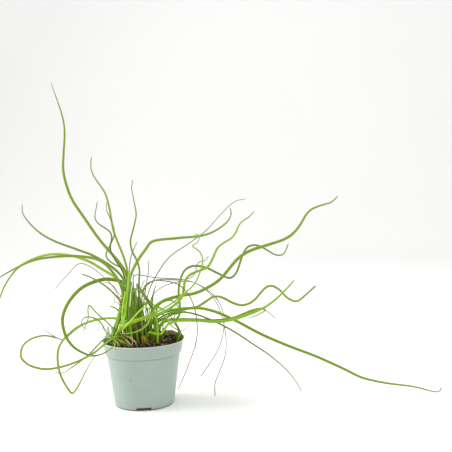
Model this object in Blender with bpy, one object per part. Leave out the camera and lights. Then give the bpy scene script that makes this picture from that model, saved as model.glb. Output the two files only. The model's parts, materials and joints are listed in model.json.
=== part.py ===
"""Potted corkscrew rush: a small nursery pot of peat with a clump of curling green stems.

Metres, +Z up. The origin is the centre of the pot's foot, on the surface it stands on.
"""
import math

import bmesh
import bpy
import numpy as np
from mathutils import Matrix, Vector
from mathutils.bvhtree import BVHTree
from mathutils.kdtree import KDTree

MM = 0.001

# Pot, in millimetres
POT_HEIGHT = 71.2
RIM_RADIUS = 45.0
BAND_HEIGHT = 14.1
BAND_FOOT_RADIUS = 42.6
BODY_TOP_RADIUS = 40.9
FOOT_RADIUS = 32.9
WALL = 1.2
FLOOR = 1.6
LIP = 0.9
FOOT_EDGE = 1.0
POT_SIDES = 40
SHARP_ANGLE = 35.0

# Drain slots round the foot
SLOT_COUNT = 4
SLOT_WIDTH = 18.0
SLOT_HEIGHT = 3.6
SLOT_TAPER = 0.86
SLOT_DEPTH = 7.0
SLOT_FIRST_ANGLE = -85.0

# Peat
GAP = 0.35
SOIL_LEVEL = 67.0
SOIL_SIDES = 30
SOIL_RINGS = (0.87, 0.72, 0.56, 0.40, 0.22)
SOIL_EDGE_DROP = 1.0
FACET_ROOM = 0.25
CLUMP_RISE = 3.0
CLUMP_SPREAD = 22.0
MOUND_RISE = 8.0
MOUND_SPREAD = 15.0
MOUND_CENTRE = (27.0, 17.0)
CRUMB_HEIGHT = 0.3
CRUMB_WAVES = (0.55, 0.47)

# Stems
EYE = np.array((96.0, -726.0, 219.0))
STEM_CLEARANCE = 0.45
TAPER = 1.9
ROOT_STALK = 2.5
ROOT_LIMIT = 40.0
SAMPLE_STEP = 2.0
RING_TOLERANCE = 0.55
RING_SPACING = 34.0
ROOT_ROUNDS = 300
EASE_ROUNDS = 260
EASE_REACH = 18.0
SOFTEN_ROUNDS = 6
SOFTEN_GAIN = 2.2
SLIM_ROUNDS = 12
LINK_STEP = 0.6
THINNEST = 0.22
TABLE_CLEARANCE = 0.6

GREEN = "stem_green"
LIME = "stem_lime"
DEEP = "stem_deep_green"
PALE = "stem_pale"
STRAW = "dry_straw"

COLOURS = {
    "pot_plastic": ((0.42, 0.49, 0.45), 0.5),
    "peat": ((0.035, 0.024, 0.016), 0.95),
    GREEN: ((0.17, 0.30, 0.035), 0.42),
    LIME: ((0.27, 0.46, 0.03), 0.40),
    DEEP: ((0.09, 0.20, 0.02), 0.42),
    PALE: ((0.40, 0.48, 0.26), 0.50),
    STRAW: ((0.50, 0.38, 0.22), 0.70),
}

# Every stem is (name, material, diameter at the root, diameter half way, diameter at the tip,
# route), in millimetres. A route point is (across, up, back). Across and up lie on the upright
# plane through the pot's axis, as seen from EYE, and back is how far behind that plane it is.
STEMS = [
    ("stem_tall_left", GREEN, 3.6, 3.3, 0.8, [
        (-10, 74, 6), (-13, 110, 8), (-18, 147, 12), (-28, 163, 18), (-44, 182, 26),
        (-60, 206, 34), (-76, 232, 40), (-83, 256, 44), (-84, 270, 46), (-82, 288, 48),
        (-81, 305, 50), (-82, 318, 52), (-86, 333, 55), (-94, 359, 60)]),
    ("stem_upper_left", GREEN, 3.0, 2.7, 0.8, [
        (-6, 75, -16), (-12, 112, -22), (-20, 139, -28), (-31, 152, -34), (-44, 161, -41),
        (-60, 170, -48), (-80, 177, -56), (-96, 184, -62), (-107, 190, -66), (-118, 199, -70),
        (-128, 211, -74), (-131, 218, -76), (-131, 225, -78)]),
    ("stem_left_arc_front", GREEN, 3.1, 2.7, 0.9, [
        (-14, 74, -16), (-19, 112, -24), (-25, 136, -32), (-34, 150, -40), (-46, 161, -50),
        (-60, 165, -60), (-80, 167, -72), (-100, 166, -82), (-120, 163, -90), (-140, 155, -96),
        (-157, 146, -100), (-172, 136, -103)]),
    ("stem_left_arc_back", GREEN, 3.3, 3.2, 1.6, [
        (-8, 75, 12), (-15, 112, 18), (-24, 137, 26), (-38, 147, 36), (-54, 158, 46),
        (-70, 165, 56), (-88, 169, 66), (-104, 169, 74), (-122, 164, 81), (-138, 155, 87),
        (-150, 141, 91), (-157, 128, 93), (-163, 112, 95), (-170, 98, 97)]),
    ("stem_big_ring", GREEN, 3.9, 4.1, 1.0, [
        (-20, 73, -4), (-20, 92, -6), (-17, 112, -8), (-15, 126, -8), (-18, 134, -10),
        (-27, 138, -16), (-40, 140, -22), (-54, 137, -30), (-67, 131, -38), (-78, 121, -45),
        (-86, 109, -50), (-90, 96, -53), (-89, 84, -54), (-85, 73, -54), (-78, 64, -53),
        (-69, 58, -51), (-58, 54, -49), (-49, 55, -47), (-40, 59, -46), (-34, 64, -45)]),
    ("stem_low_loop_left", GREEN, 2.6, 2.4, 1.8, [
        (-20, 71, -18), (-25, 75, -24), (-33, 74, -32), (-42, 68, -40), (-53, 59, -49),
        (-66, 52, -58), (-80, 46, -66), (-95, 42, -74), (-108, 40, -79), (-121, 42, -83),
        (-132, 47, -86), (-138, 55, -87), (-136, 66, -87), (-129, 73, -86), (-119, 77, -84),
        (-108, 78, -82), (-97, 75, -80)]),
    ("stem_low_thin_left", DEEP, 1.9, 1.7, 0.6, [
        (-25, 71, -6), (-33, 77, -12), (-42, 74, -18), (-52, 65, -23), (-62, 55, -27),
        (-72, 48, -30), (-82, 41, -32), (-90, 36, -33), (-96, 35, -34), (-100, 37, -34)]),
    ("stem_hook_left", GREEN, 3.0, 3.0, 0.7, [
        (-16, 74, 10), (-20, 87, 12), (-26, 94, 14), (-36, 96, 17), (-50, 95, 20),
        (-62, 92, 23), (-75, 86, 26), (-85, 78, 28), (-92, 70, 29), (-96, 61, 30),
        (-97, 49, 30), (-95, 36, 30), (-91, 25, 30), (-86, 17, 30), (-82, 12, 30),
        (-79, 14, 29), (-73, 23, 27), (-66, 36, 24), (-59, 48, 21), (-54, 55, 18)]),
    ("stem_left_side", DEEP, 2.5, 2.1, 0.9, [
        (-12, 75, 20), (-18, 89, 26), (-28, 95, 32), (-44, 95, 40), (-60, 92, 47),
        (-73, 86, 52), (-83, 78, 55), (-91, 73, 57), (-100, 78, 59), (-112, 85, 61)]),
    ("stem_kinked_left", GREEN, 1.8, 1.6, 0.9, [
        (-25, 72, -20), (-31, 81, -26), (-38, 88, -31), (-45, 95, -36), (-53, 104, -41),
        (-59.4, 110.6, -44),
        (-60.2, 111.3, -45), (-60.7, 110.2, -45), (-61, 105, -47), (-61, 99, -48),
        (-62, 93, -50), (-67, 82, -52)]),
    ("stem_small_curl_left", GREEN, 1.8, 1.6, 0.9, [
        (-31, 71, -14), (-38, 76, -19), (-43, 83, -23), (-45, 88, -26), (-50, 94, -29),
        (-56, 97, -32), (-62, 98, -35), (-67, 96, -37), (-69, 91, -38), (-67, 87, -38),
        (-64, 85, -37)]),
    ("stem_short_pale_left", PALE, 2.0, 1.9, 1.5, [
        (-25, 72, 4), (-25, 86, 2), (-25, 97, 0), (-27, 104, -2), (-30, 107, -4),
        (-35, 109, -6)]),
    ("straw_dry", STRAW, 1.0, 0.9, 0.6, [
        (-22, 73, 14), (-24, 112, 20), (-34, 134, 27), (-45, 144, 33), (-58, 155, 40),
        (-68, 157.8, 45), (-69.6, 158, 46), (-71, 156.8, 46),
        (-79, 150, 49), (-88, 140, 52), (-97, 131, 55)]),
    ("stem_short_left", GREEN, 2.3, 2.1, 1.3, [
        (-18, 73, -24), (-20, 95, -28), (-24, 113, -32), (-31, 123, -36), (-38, 130, -40),
        (-46, 136, -44), (-56, 142, -48), (-66, 146, -52)]),
    ("stem_curly_tall", GREEN, 2.8, 2.7, 1.3, [
        (-7, 76, 20), (-11, 115, 27), (-15, 146, 34), (-19, 163, 39), (-24, 178, 44),
        (-29, 190, 48), (-31, 204, 52), (-34, 221, 56), (-38, 236, 60), (-46, 249, 64),
        (-52, 260, 67), (-53, 270, 69), (-52, 276, 70)]),
    ("stem_curly_left", DEEP, 2.2, 1.9, 0.7, [
        (-11, 75, -4), (-15, 112, -10), (-21, 148, -16), (-30, 163, -21), (-34, 173, -25),
        (-33, 181, -28), (-32, 187, -30), (-34, 193, -33), (-40, 198, -36), (-47, 203, -39),
        (-50, 209, -42), (-49, 217, -45), (-47, 226, -48)]),
    ("stem_wavy_left", DEEP, 2.2, 1.8, 0.8, [
        (-4, 76, 4), (-8, 112, 7), (-17, 148, 10), (-28, 155, 12), (-36, 161, 14),
        (-39, 167, 16), (-37, 173, 18), (-33, 180, 19), (-29, 190, 21), (-30, 200, 23),
        (-34, 210, 25), (-37, 218, 27), (-36, 227, 29)]),
    ("stem_wavy_centre", GREEN, 2.4, 2.0, 0.6, [
        (0, 76, -10), (-3, 110, -17), (-3, 135, -23), (-2, 148, -27), (-4, 158, -30),
        (-9, 169, -33), (-11, 177, -36), (-11, 184, -38), (-8, 195, -41), (-5, 205, -44),
        (-4, 214, -46), (-6, 227, -49), (-8, 237, -51), (-8, 244, -52), (-7, 249, -53)]),
    ("stem_short_centre", DEEP, 1.8, 1.5, 0.7, [
        (-3, 77, 20), (-9, 110, 19), (-13, 140, 22), (-13, 153, 26), (-11, 165, 34),
        (-8, 173, 36), (-4, 180, 38)]),
    ("stem_kinked_right", GREEN, 3.3, 3.3, 1.5, [
        (-15, 74, 2), (-18, 100, 2), (-17, 124, 4), (-11, 146, 8), (-3, 161, 18),
        (6, 173, 32), (10.8, 179, 36), (12.2, 180.4, 37),
        (14.5, 180.9, 38), (23, 182, 44), (40, 184, 54), (60, 185, 64),
        (76, 188, 72), (90, 195, 78), (99, 203, 82), (102, 210, 84), (101, 216, 85)]),
    ("stem_long_fine", DEEP, 1.5, 1.2, 0.5, [
        (5, 77, 18), (4, 105, 24), (8, 126, 31), (16, 141, 40), (24, 154, 49),
        (33, 164, 58), (46, 173, 70), (62, 183, 83), (76, 194, 95), (90, 209, 107),
        (99, 218, 115), (108, 224, 122), (118, 226, 129)]),
    ("stem_curl_tip_right", LIME, 2.6, 1.9, 0.7, [
        (-33, 71, -12), (-29, 81, -24), (-14, 91, -38), (4, 97, -44), (21, 104, -48),
        (36, 113, -51), (49, 123, -54), (58, 131, -56), (64, 141, -58), (67, 150, -60),
        (69, 159, -61), (66, 168, -62), (61, 173, -62), (58, 175, -62), (62, 177, -63),
        (65, 181, -64), (66, 185, -64), (64, 188, -65), (61, 187, -66), (61, 183, -66)]),
    ("stem_stepped_right", LIME, 3.1, 2.9, 1.2, [
        (-27, 71, -17), (-24, 83, -24), (-10, 91, -33), (6, 96, -34), (22, 101, -35),
        (36, 109, -37), (44, 117, -40), (47, 127, -42), (49, 137, -42), (55, 143, -42),
        (65, 147, -42), (74, 151, -42), (80, 160, -42), (84, 169, -43), (89, 175, -44),
        (98, 180, -46), (105, 186, -48), (110, 196, -50), (114, 201, -52), (121, 205, -54),
        (127, 211, -56)]),
    ("stem_hairpin_right", GREEN, 2.8, 2.6, 1.4, [
        (42, 75, 4), (40, 82, 5), (36.6, 89, 7), (37.4, 92.4, 8), (40.6, 96, 11), (42, 108, 17),
        (41, 122, 21), (43, 136, 27), (48, 147, 33), (56, 152, 38), (66, 152, 42),
        (78, 148, 46), (90, 141, 51), (99, 138, 54), (105, 142, 56), (110, 153, 58),
        (115, 166, 60), (121, 173, 62), (129, 174, 64), (137, 171, 66), (146, 165, 69),
        (154, 162, 71), (160, 164, 73), (165, 174, 75)]),
    ("stem_short_right", GREEN, 2.6, 2.2, 0.9, [
        (41, 73, -10), (41.2, 78, -8), (38.4, 85, -7), (34.6, 91, -6), (31, 97, -6)]),
    ("stem_long_rising", GREEN, 3.8, 3.9, 1.6, [
        (10, 77, 6), (8, 94, 10), (14, 107, 15), (26, 115, 20), (42, 119, 26),
        (60, 122, 32), (76, 129, 36), (88, 137, 40), (98, 148, 44), (108, 159, 47),
        (120, 167, 51), (138, 173, 57), (156, 178, 62), (168, 184, 66), (177, 193, 70),
        (183, 203, 73), (191, 212, 77), (203, 217, 81), (214, 220, 85), (221, 226, 88)]),
    ("stem_wavy_right", GREEN, 3.2, 3.0, 2.3, [
        (14, 77, 12), (19, 86, 14), (26, 94, 17), (36, 101, 21), (47, 104, 26),
        (60, 106, 31), (70, 111, 34), (79, 117, 36), (88, 117, 38), (99, 111, 41),
        (112, 107, 43), (124, 111, 45), (134, 122, 47), (143, 128, 48), (152, 125, 49),
        (163, 114, 50), (173, 110, 51), (183, 117, 52), (194, 126, 53)]),
    ("stem_front_right", LIME, 2.3, 3.0, 1.6, [
        (3, 73, -17), (7, 79, -22), (14, 77, -25), (20, 77, -27), (24, 82, -28),
        (29, 88, -29), (40, 91, -30), (60, 91, -32), (82, 89, -34), (100, 91, -36),
        (120, 97, -38), (137, 104, -40), (150, 113, -42), (162, 124, -44), (170, 133, -46)]),
    ("stem_longest_right", GREEN, 3.3, 3.1, 1.1, [
        (8, 75, -6), (9, 86, -8), (15, 96, -10), (26, 102, -12), (44, 104, -14),
        (62, 105, -16), (80, 101, -18), (98, 93, -20), (118, 82, -21), (140, 70, -22),
        (165, 59, -22), (192, 48, -22), (218, 36, -22), (240, 24, -22), (258, 18, -22),
        (285, 13, -22), (310, 9, -22), (325, 5, -22), (331, 4, -22), (334, 8, -22)]),
    ("stem_fine_right", GREEN, 1.7, 1.5, 0.6, [
        (20, 76, 2), (27, 86, -1), (38, 90, -4), (58, 92, -8), (82, 91, -12), (105, 94, -16),
        (122, 99, -19), (132, 102, -21), (139, 100, -23), (144, 96, -24), (148, 92, -25)]),
    ("stem_hooked_right", LIME, 2.6, 2.4, 1.0, [
        (17, 76, -6), (20, 86, -4), (30, 92, -1), (50, 93, 3), (75, 91, 5), (100, 93, 6),
        (115, 98, 6), (125, 102, 6), (134, 103, 6), (138, 101, 6), (131, 97, 5),
        (125, 94, 4), (119, 93, 3)]),
    ("stem_dark_thin_right", DEEP, 2.1, 2.0, 0.6, [
        (11, 75, -15), (14, 88, -20), (23, 97, -24), (36, 101, -25), (52, 100, -25),
        (68, 95, -26), (84, 87, -27), (100, 79, -29), (120, 65, -32), (140, 51, -36),
        (155, 38, -36), (165, 27, -36), (172, 17, -36), (176, 9, -36)]),
    ("stem_drooping_back", DEEP, 1.2, 0.9, 0.5, [
        (1, 77, 25), (-6, 105, 30), (-11, 130, 36), (-8, 143, 40), (3, 143, 44),
        (18, 140, 48), (36, 139, 51), (52, 136, 53), (64, 131, 53), (75, 122, 51),
        (84, 109, 47), (89, 95, 42), (92, 80, 36), (93, 66, 30), (92, 53, 24), (88, 40, 18),
        (83, 29, 13), (79, 17, 8), (79, 6, 4)]),
    ("stem_drooping_front", GREEN, 1.5, 1.2, 0.6, [
        (5, 75, -22), (1, 100, -25), (0, 120, -30), (4, 132, -36), (14, 137, -40),
        (28, 136, -43), (41, 132, -45), (51, 122, -46), (57, 110, -46), (60, 96, -46),
        (61, 82, -45), (60, 70, -44), (56, 56, -42), (50, 41, -40), (43, 26, -39),
        (38, 14, -38)]),
    ("stem_fine_curl", DEEP, 1.4, 1.1, 0.5, [
        (3, 77, 29), (-1, 104, 33), (3, 128, 37), (14, 137, 41), (30, 138, 45),
        (46, 137, 49), (56, 140, 52), (61, 146, 54), (62, 153, 56), (66, 157, 58),
        (71, 158, 60), (75, 162, 62)]),
    ("straw_drooping", STRAW, 0.7, 0.6, 0.45, [
        (9, 77, 24), (8, 98, 27), (11, 119, 31), (22, 129, 35), (36, 134, 38), (54, 135, 40),
        (68, 129, 40), (79, 120, 39), (87, 109, 36), (91, 97, 32), (91, 84, 27),
        (88, 68, 22), (80, 51, 17), (72, 40, 13), (64, 28, 10)]),
    ("stem_pale_upright", PALE, 1.9, 1.6, 0.7, [
        (-1, 75, -18), (0, 100, -18), (3, 122, -20), (6, 137, -22), (8, 148, -24),
        (8, 158, -26)]),
    ("stem_short_upright", DEEP, 1.6, 1.3, 0.5, [
        (4, 77, 8), (0, 104, 9), (-2, 126, 9), (3, 137, 8)]),
    ("stem_arched_centre", LIME, 2.6, 2.2, 0.9, [
        (-12, 73, -22), (-15, 100, -25), (-13, 119, -31), (-9, 127, -36), (-4, 128, -38),
        (1, 121, -40), (6, 113, -41), (10, 105, -42)]),
    ("stem_front_arc", LIME, 2.2, 1.9, 0.9, [
        (16, 73, -24), (16, 90, -42), (13, 99, -47), (9, 98, -49), (6, 89, -50),
        (-1, 83, -50), (-11, 79, -49), (-24, 78, -46)]),
    ("stem_crown_front", DEEP, 3.4, 2.6, 0.8, [
        (-6, 74, -21), (-8, 98, -24), (-7, 118, -26), (-6, 133, -28)]),
    ("stem_crown_left", LIME, 3.6, 3.0, 0.9, [
        (-16, 73, -12), (-19, 96, -19), (-19, 120, -21), (-15, 146, -21)]),
    ("stem_crown_pale", PALE, 3.0, 2.4, 0.8, [
        (-9, 74, -10), (-13, 100, -14), (-14, 120, -17), (-12, 142, -20)]),
    ("stem_crown_middle", GREEN, 3.2, 2.4, 0.7, [
        (-1, 76, -2), (-5, 98, -4), (-9, 122, -5), (-9, 144, -6)]),
    ("stem_crown_right", LIME, 3.6, 2.8, 0.8, [
        (14, 76, -9), (13, 92, -12), (11, 106, -14), (12, 120, -15), (16, 132, -16)]),
    ("stem_crown_leaning", GREEN, 4.2, 3.6, 2.2, [
        (14, 78, 8), (13.8, 92, 5), (10.8, 106, 2), (5.5, 117, 0), (-1.5, 127, -2),
        (-4.7, 132.5, -3)]),
    ("stem_crown_deep", DEEP, 3.2, 2.4, 0.7, [
        (4, 77, 0), (1, 98, 1), (-3, 116, 1), (-5, 134, 0)]),
    ("stem_lime_left", LIME, 3.8, 3.2, 1.2, [
        (-35, 71, 4), (-31, 82, 2), (-27, 92, 0), (-24, 105, -5), (-22, 124, -13),
        (-21, 140, -17)]),
    ("stem_lime_inner", LIME, 3.6, 3.2, 1.6, [
        (-29, 73, -7), (-25, 87, -11), (-21.5, 96, -13), (-18.5, 107, -13), (-16.5, 119, -13),
        (-15.5, 133, -14)]),
    ("stem_back_left", GREEN, 2.9, 2.3, 0.7, [
        (-13, 75, 27), (-17, 96, 38), (-14, 116, 54), (-8, 128, 74), (-7, 124, 94),
        (-12, 110, 108), (-16, 100, 112)]),
    ("stem_back_tall", GREEN, 3.0, 2.4, 0.7, [
        (-1, 78, 32), (-4, 100, 40), (-6, 118, 52), (-11, 128, 68), (-19, 130, 84),
        (-20, 122, 100), (-14, 112, 112)]),
    ("stem_back_right", DEEP, 2.8, 2.2, 0.7, [
        (13, 79, 24), (14, 94, 34), (17, 107, 48), (24, 113, 66), (34, 114, 86),
        (40, 106, 104), (38, 98, 116)]),
    ("stem_back_low", LIME, 2.6, 2.0, 0.7, [
        (18, 80, 30), (22, 88, 42), (24, 94, 58), (27, 92, 76), (34, 84, 90),
        (44, 80, 100), (52, 86, 106)]),
]


def clear_scene():
    for obj in list(bpy.data.objects):
        bpy.data.objects.remove(obj, do_unlink=True)


def material(name):
    """One Principled material per finish, shared by the pieces that have it."""
    found = bpy.data.materials.get(name)
    if found:
        return found
    colour, roughness = COLOURS[name]
    mat = bpy.data.materials.new(name)
    mat.use_nodes = True
    shader = mat.node_tree.nodes["Principled BSDF"]
    shader.inputs["Base Color"].default_value = (*colour, 1.0)
    shader.inputs["Roughness"].default_value = roughness
    shader.inputs["Metallic"].default_value = 0.0
    return mat


def add_object(name, data, finish):
    obj = bpy.data.objects.new(name, data)
    data.materials.append(material(finish))
    bpy.context.collection.objects.link(obj)
    return obj


def turned_mesh(name, profile, sides):
    """Spin a profile of (radius, height) in millimetres, which starts and ends on the axis."""
    bm = bmesh.new()
    verts = [bm.verts.new((radius*MM, 0.0, height*MM)) for radius, height in profile]
    edges = [bm.edges.new(pair) for pair in zip(verts[:-1], verts[1:])]
    bmesh.ops.spin(bm, geom=verts + edges, cent=(0, 0, 0), axis=(0, 0, 1),
                   angle=2*math.pi, steps=sides, use_merge=True)
    bmesh.ops.remove_doubles(bm, verts=bm.verts, dist=0.00001)
    bmesh.ops.recalc_face_normals(bm, faces=bm.faces)
    mesh = bpy.data.meshes.new(name)
    bm.to_mesh(mesh)
    bm.free()
    return mesh


def surface(mesh):
    """A mesh's surface in millimetres, for asking what is near a point."""
    places = [vert.co/MM for vert in mesh.vertices]
    return BVHTree.FromPolygons(places, [tuple(face.vertices) for face in mesh.polygons])


def shelf_height():
    return POT_HEIGHT - BAND_HEIGHT


def body_radius(height):
    """Outer radius of the pot's tapered body at a height."""
    return FOOT_RADIUS + (BODY_TOP_RADIUS - FOOT_RADIUS)*height/shelf_height()


def band_radius(height):
    """Outer radius of the rim band at a height."""
    share = (height - shelf_height())/BAND_HEIGHT
    return BAND_FOOT_RADIUS + (RIM_RADIUS - BAND_FOOT_RADIUS)*share


def pot_profile():
    shelf = shelf_height()
    top = POT_HEIGHT
    return [
        (0, 0),
        (FOOT_RADIUS - FOOT_EDGE, 0),
        (FOOT_RADIUS, FOOT_EDGE),
        (body_radius(shelf - WALL), shelf - WALL),
        (BAND_FOOT_RADIUS - LIP/2, shelf),
        (BAND_FOOT_RADIUS, shelf + LIP/2),
        (band_radius(top - 2*LIP), top - 2*LIP),
        (RIM_RADIUS + LIP/3, top - LIP),
        (RIM_RADIUS, top - LIP/4),
        (RIM_RADIUS - LIP/2, top),
        (RIM_RADIUS - WALL, top - LIP/4),
        (band_radius(shelf + 2*WALL) - WALL, shelf + 2*WALL),
        (body_radius(shelf) - WALL, shelf + WALL/2),
        (body_radius(FLOOR) - WALL, FLOOR),
        (0, FLOOR),
    ]


def slot_cutter(index):
    """A wedge that cuts one drain slot through the foot and the lower wall."""
    bm = bmesh.new()
    bmesh.ops.create_cube(bm, size=1.0)
    for vert in bm.verts:
        high = vert.co.z > 0
        vert.co.x *= SLOT_DEPTH*MM
        vert.co.y *= SLOT_WIDTH*MM*(SLOT_TAPER if high else 1.0)
        vert.co.z = SLOT_HEIGHT*MM if high else -MM
    turn = math.radians(SLOT_FIRST_ANGLE + index*360/SLOT_COUNT)
    middle = FOOT_RADIUS*MM
    bmesh.ops.translate(bm, verts=bm.verts, vec=(middle, 0, 0))
    bmesh.ops.rotate(bm, verts=bm.verts, cent=(0, 0, 0), matrix=Matrix.Rotation(turn, 3, "Z"))
    mesh = bpy.data.meshes.new(f"slot_cutter_{index}")
    bm.to_mesh(mesh)
    bm.free()
    cutter = bpy.data.objects.new(f"slot_cutter_{index}", mesh)
    bpy.context.collection.objects.link(cutter)
    cutter.hide_render = True
    cutter.display_type = "WIRE"
    return cutter


def build_pot():
    mesh = turned_mesh("pot", pot_profile(), POT_SIDES)
    mesh.shade_smooth()
    mesh.set_sharp_from_angle(angle=math.radians(SHARP_ANGLE))
    pot = add_object("pot", mesh, "pot_plastic")
    for index in range(SLOT_COUNT):
        cut = pot.modifiers.new(f"drain_slot_{index}", "BOOLEAN")
        cut.operation = "DIFFERENCE"
        cut.solver = "EXACT"
        cut.object = slot_cutter(index)
    return surface(mesh)


def soil_height(x, y):
    """Height of the peat's surface in millimetres: a low clump rise and a mound at the back."""
    clump = CLUMP_RISE*math.exp(-(x*x + y*y)/(2*CLUMP_SPREAD**2))
    away = (x - MOUND_CENTRE[0])**2 + (y - MOUND_CENTRE[1])**2
    mound = MOUND_RISE*math.exp(-away/(2*MOUND_SPREAD**2))
    crumbs = CRUMB_HEIGHT*math.sin(CRUMB_WAVES[0]*x + 1.0)*math.cos(CRUMB_WAVES[1]*y - 0.5)
    return SOIL_LEVEL + clump + mound + crumbs


def build_soil():
    shelf = shelf_height()
    wall_gap = WALL + GAP + FACET_ROOM
    edge = band_radius(SOIL_LEVEL) - wall_gap
    profile = [
        (0, FLOOR + GAP),
        (body_radius(FLOOR) - wall_gap, FLOOR + GAP),
        (body_radius(shelf) - wall_gap, shelf + WALL),
        (band_radius(shelf + 3*WALL) - wall_gap, shelf + 3*WALL + GAP),
        (edge, SOIL_LEVEL - SOIL_EDGE_DROP),
    ]
    profile += [(edge*share, SOIL_LEVEL) for share in SOIL_RINGS]
    profile += [(0, SOIL_LEVEL)]
    mesh = turned_mesh("soil", profile, SOIL_SIDES)
    for vert in mesh.vertices:
        below_level = SOIL_LEVEL - vert.co.z/MM
        if below_level < 1.5*SOIL_EDGE_DROP:
            vert.co.z = (soil_height(vert.co.x/MM, vert.co.y/MM) - below_level)*MM
    mesh.shade_smooth()
    add_object("soil", mesh, "peat")
    return surface(mesh)


def place(point):
    """Turn (across, up, back) into a position in millimetres."""
    across, up, back = point
    on_plane = np.array((across, 0.0, up))
    return EYE + (on_plane - EYE)*(1.0 + back/abs(EYE[1]))


def smooth_curve(points):
    """A centripetal Catmull-Rom curve through the points, read about every SAMPLE_STEP."""
    points = [np.asarray(p, float) for p in points]
    ends = [2*points[0] - points[1]] + points + [2*points[-1] - points[-2]]
    samples = []
    for a, b, c, d in zip(ends, ends[1:], ends[2:], ends[3:]):
        t0 = 0.0
        t1 = t0 + np.linalg.norm(b - a)**0.5
        t2 = t1 + np.linalg.norm(c - b)**0.5
        t3 = t2 + np.linalg.norm(d - c)**0.5
        count = max(2, int(np.linalg.norm(c - b)/SAMPLE_STEP))
        for t in np.linspace(t1, t2, count, endpoint=False):
            a1 = (t1 - t)/(t1 - t0)*a + (t - t0)/(t1 - t0)*b
            a2 = (t2 - t)/(t2 - t1)*b + (t - t1)/(t2 - t1)*c
            a3 = (t3 - t)/(t3 - t2)*c + (t - t2)/(t3 - t2)*d
            b1 = (t2 - t)/(t2 - t0)*a1 + (t - t0)/(t2 - t0)*a2
            b2 = (t3 - t)/(t3 - t1)*a2 + (t - t1)/(t3 - t1)*a3
            samples.append((t2 - t)/(t2 - t1)*b1 + (t - t1)/(t2 - t1)*b2)
    samples.append(points[-1])
    return np.array(samples)


def run_lengths(samples):
    steps = np.linalg.norm(np.diff(samples, axis=0), axis=1)
    return np.concatenate(([0.0], np.cumsum(steps)))


def radius_profile(samples, root, middle, tip):
    """Half the diameter along a stem: nearly even to half way, then drawn out to the tip."""
    share = run_lengths(samples)
    share = share/share[-1]
    lower = root + (middle - root)*np.minimum(share/0.5, 1.0)
    upper = middle + (tip - middle)*np.clip((share - 0.5)/0.5, 0.0, 1.0)**TAPER
    return 0.5*np.where(share < 0.5, lower, upper)


def root_spots():
    """Where each stem leaves the peat, with the spots moved in depth until none touch."""
    spots = np.array([place(route[0])[:2] for *_, route in STEMS])
    radii = np.array([0.5*root for _, _, root, *_ in STEMS])
    for _ in range(ROOT_ROUNDS):
        for i in range(len(spots)):
            away = spots - spots[i]
            distance = np.hypot(away[:, 0], away[:, 1])
            want = radii + radii[i] + STEM_CLEARANCE + 0.2
            close = (distance < want) & (np.arange(len(spots)) != i)
            for j in np.nonzero(close)[0]:
                step = 0.3*(want[j] - distance[j])*(1 if away[j, 1] >= 0 else -1)
                sideways = 0.1*(want[j] - distance[j])*(1 if away[j, 0] >= 0 else -1)
                spots[j] += (sideways, step)
                spots[i] -= (sideways, step)
        reach = np.hypot(spots[:, 0], spots[:, 1])
        spots *= np.minimum(1.0, ROOT_LIMIT/np.maximum(reach, 1.0))[:, None]
    return spots


def ground_under(soil, spot, radius):
    """The highest peat under a stem's foot."""
    ring = [(0.0, 0.0)] + [(math.cos(a), math.sin(a)) for a in np.linspace(0, 2*math.pi, 25)[:24]]
    above = [Vector((spot[0] + radius*x, spot[1] + radius*y, 2*POT_HEIGHT)) for x, y in ring]
    return max(soil.ray_cast(start, Vector((0, 0, -1)))[0].z for start in above)


def first_curves(spots, soil):
    """Each stem as (samples, radii): straight up out of the peat, then along its route."""
    curves = []
    for spot, (_, _, root, middle, tip, route) in zip(spots, STEMS):
        foot = np.array((*spot, ground_under(soil, spot, 0.5*root) + GAP))
        points = [foot, foot + (0, 0, ROOT_STALK)]
        points += [place(point) for point in route[1:]]
        samples = smooth_curve(points)
        curves.append((samples, radius_profile(samples, root, middle, tip)))
    return curves


def close_pairs(places, owner, radii, extra):
    """Pairs of samples of different stems that are nearer than their radii plus extra."""
    tree = KDTree(len(places))
    for index, spot in enumerate(places):
        tree.insert(spot, index)
    tree.balance()
    widest = radii.max()
    first, second = [], []
    for i, spot in enumerate(places):
        for _, j, distance in tree.find_range(spot, radii[i] + widest + extra):
            if j > i and owner[i] != owner[j] and distance < radii[i] + radii[j] + extra:
                first.append(i)
                second.append(j)
    return np.array(first, int), np.array(second, int)


def off_the_pot(places, radii, freedom, solids):
    """How far each sample moves to clear the pot and the peat."""
    shift = np.zeros_like(places)
    for index, spot in enumerate(places):
        need = GAP + STEM_CLEARANCE + radii[index]*freedom[index]
        if freedom[index] == 0.0 or math.hypot(spot[0], spot[1]) > RIM_RADIUS + 10:
            continue
        for solid in solids:
            _, normal, _, distance = solid.find_nearest(Vector(spot), need)
            if normal is not None:
                shift[index] += np.array(normal)*(need - distance)
    return shift


def spread_along(push, owner):
    """Soften a push along each stem, so that the stem bends instead of kinking."""
    for _ in range(SOFTEN_ROUNDS):
        before = np.roll(push, 1)
        after = np.roll(push, -1)
        before[np.roll(owner, 1) != owner] = 0.0
        after[np.roll(owner, -1) != owner] = 0.0
        push = 0.25*before + 0.5*push + 0.25*after
    return push*SOFTEN_GAIN


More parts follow.
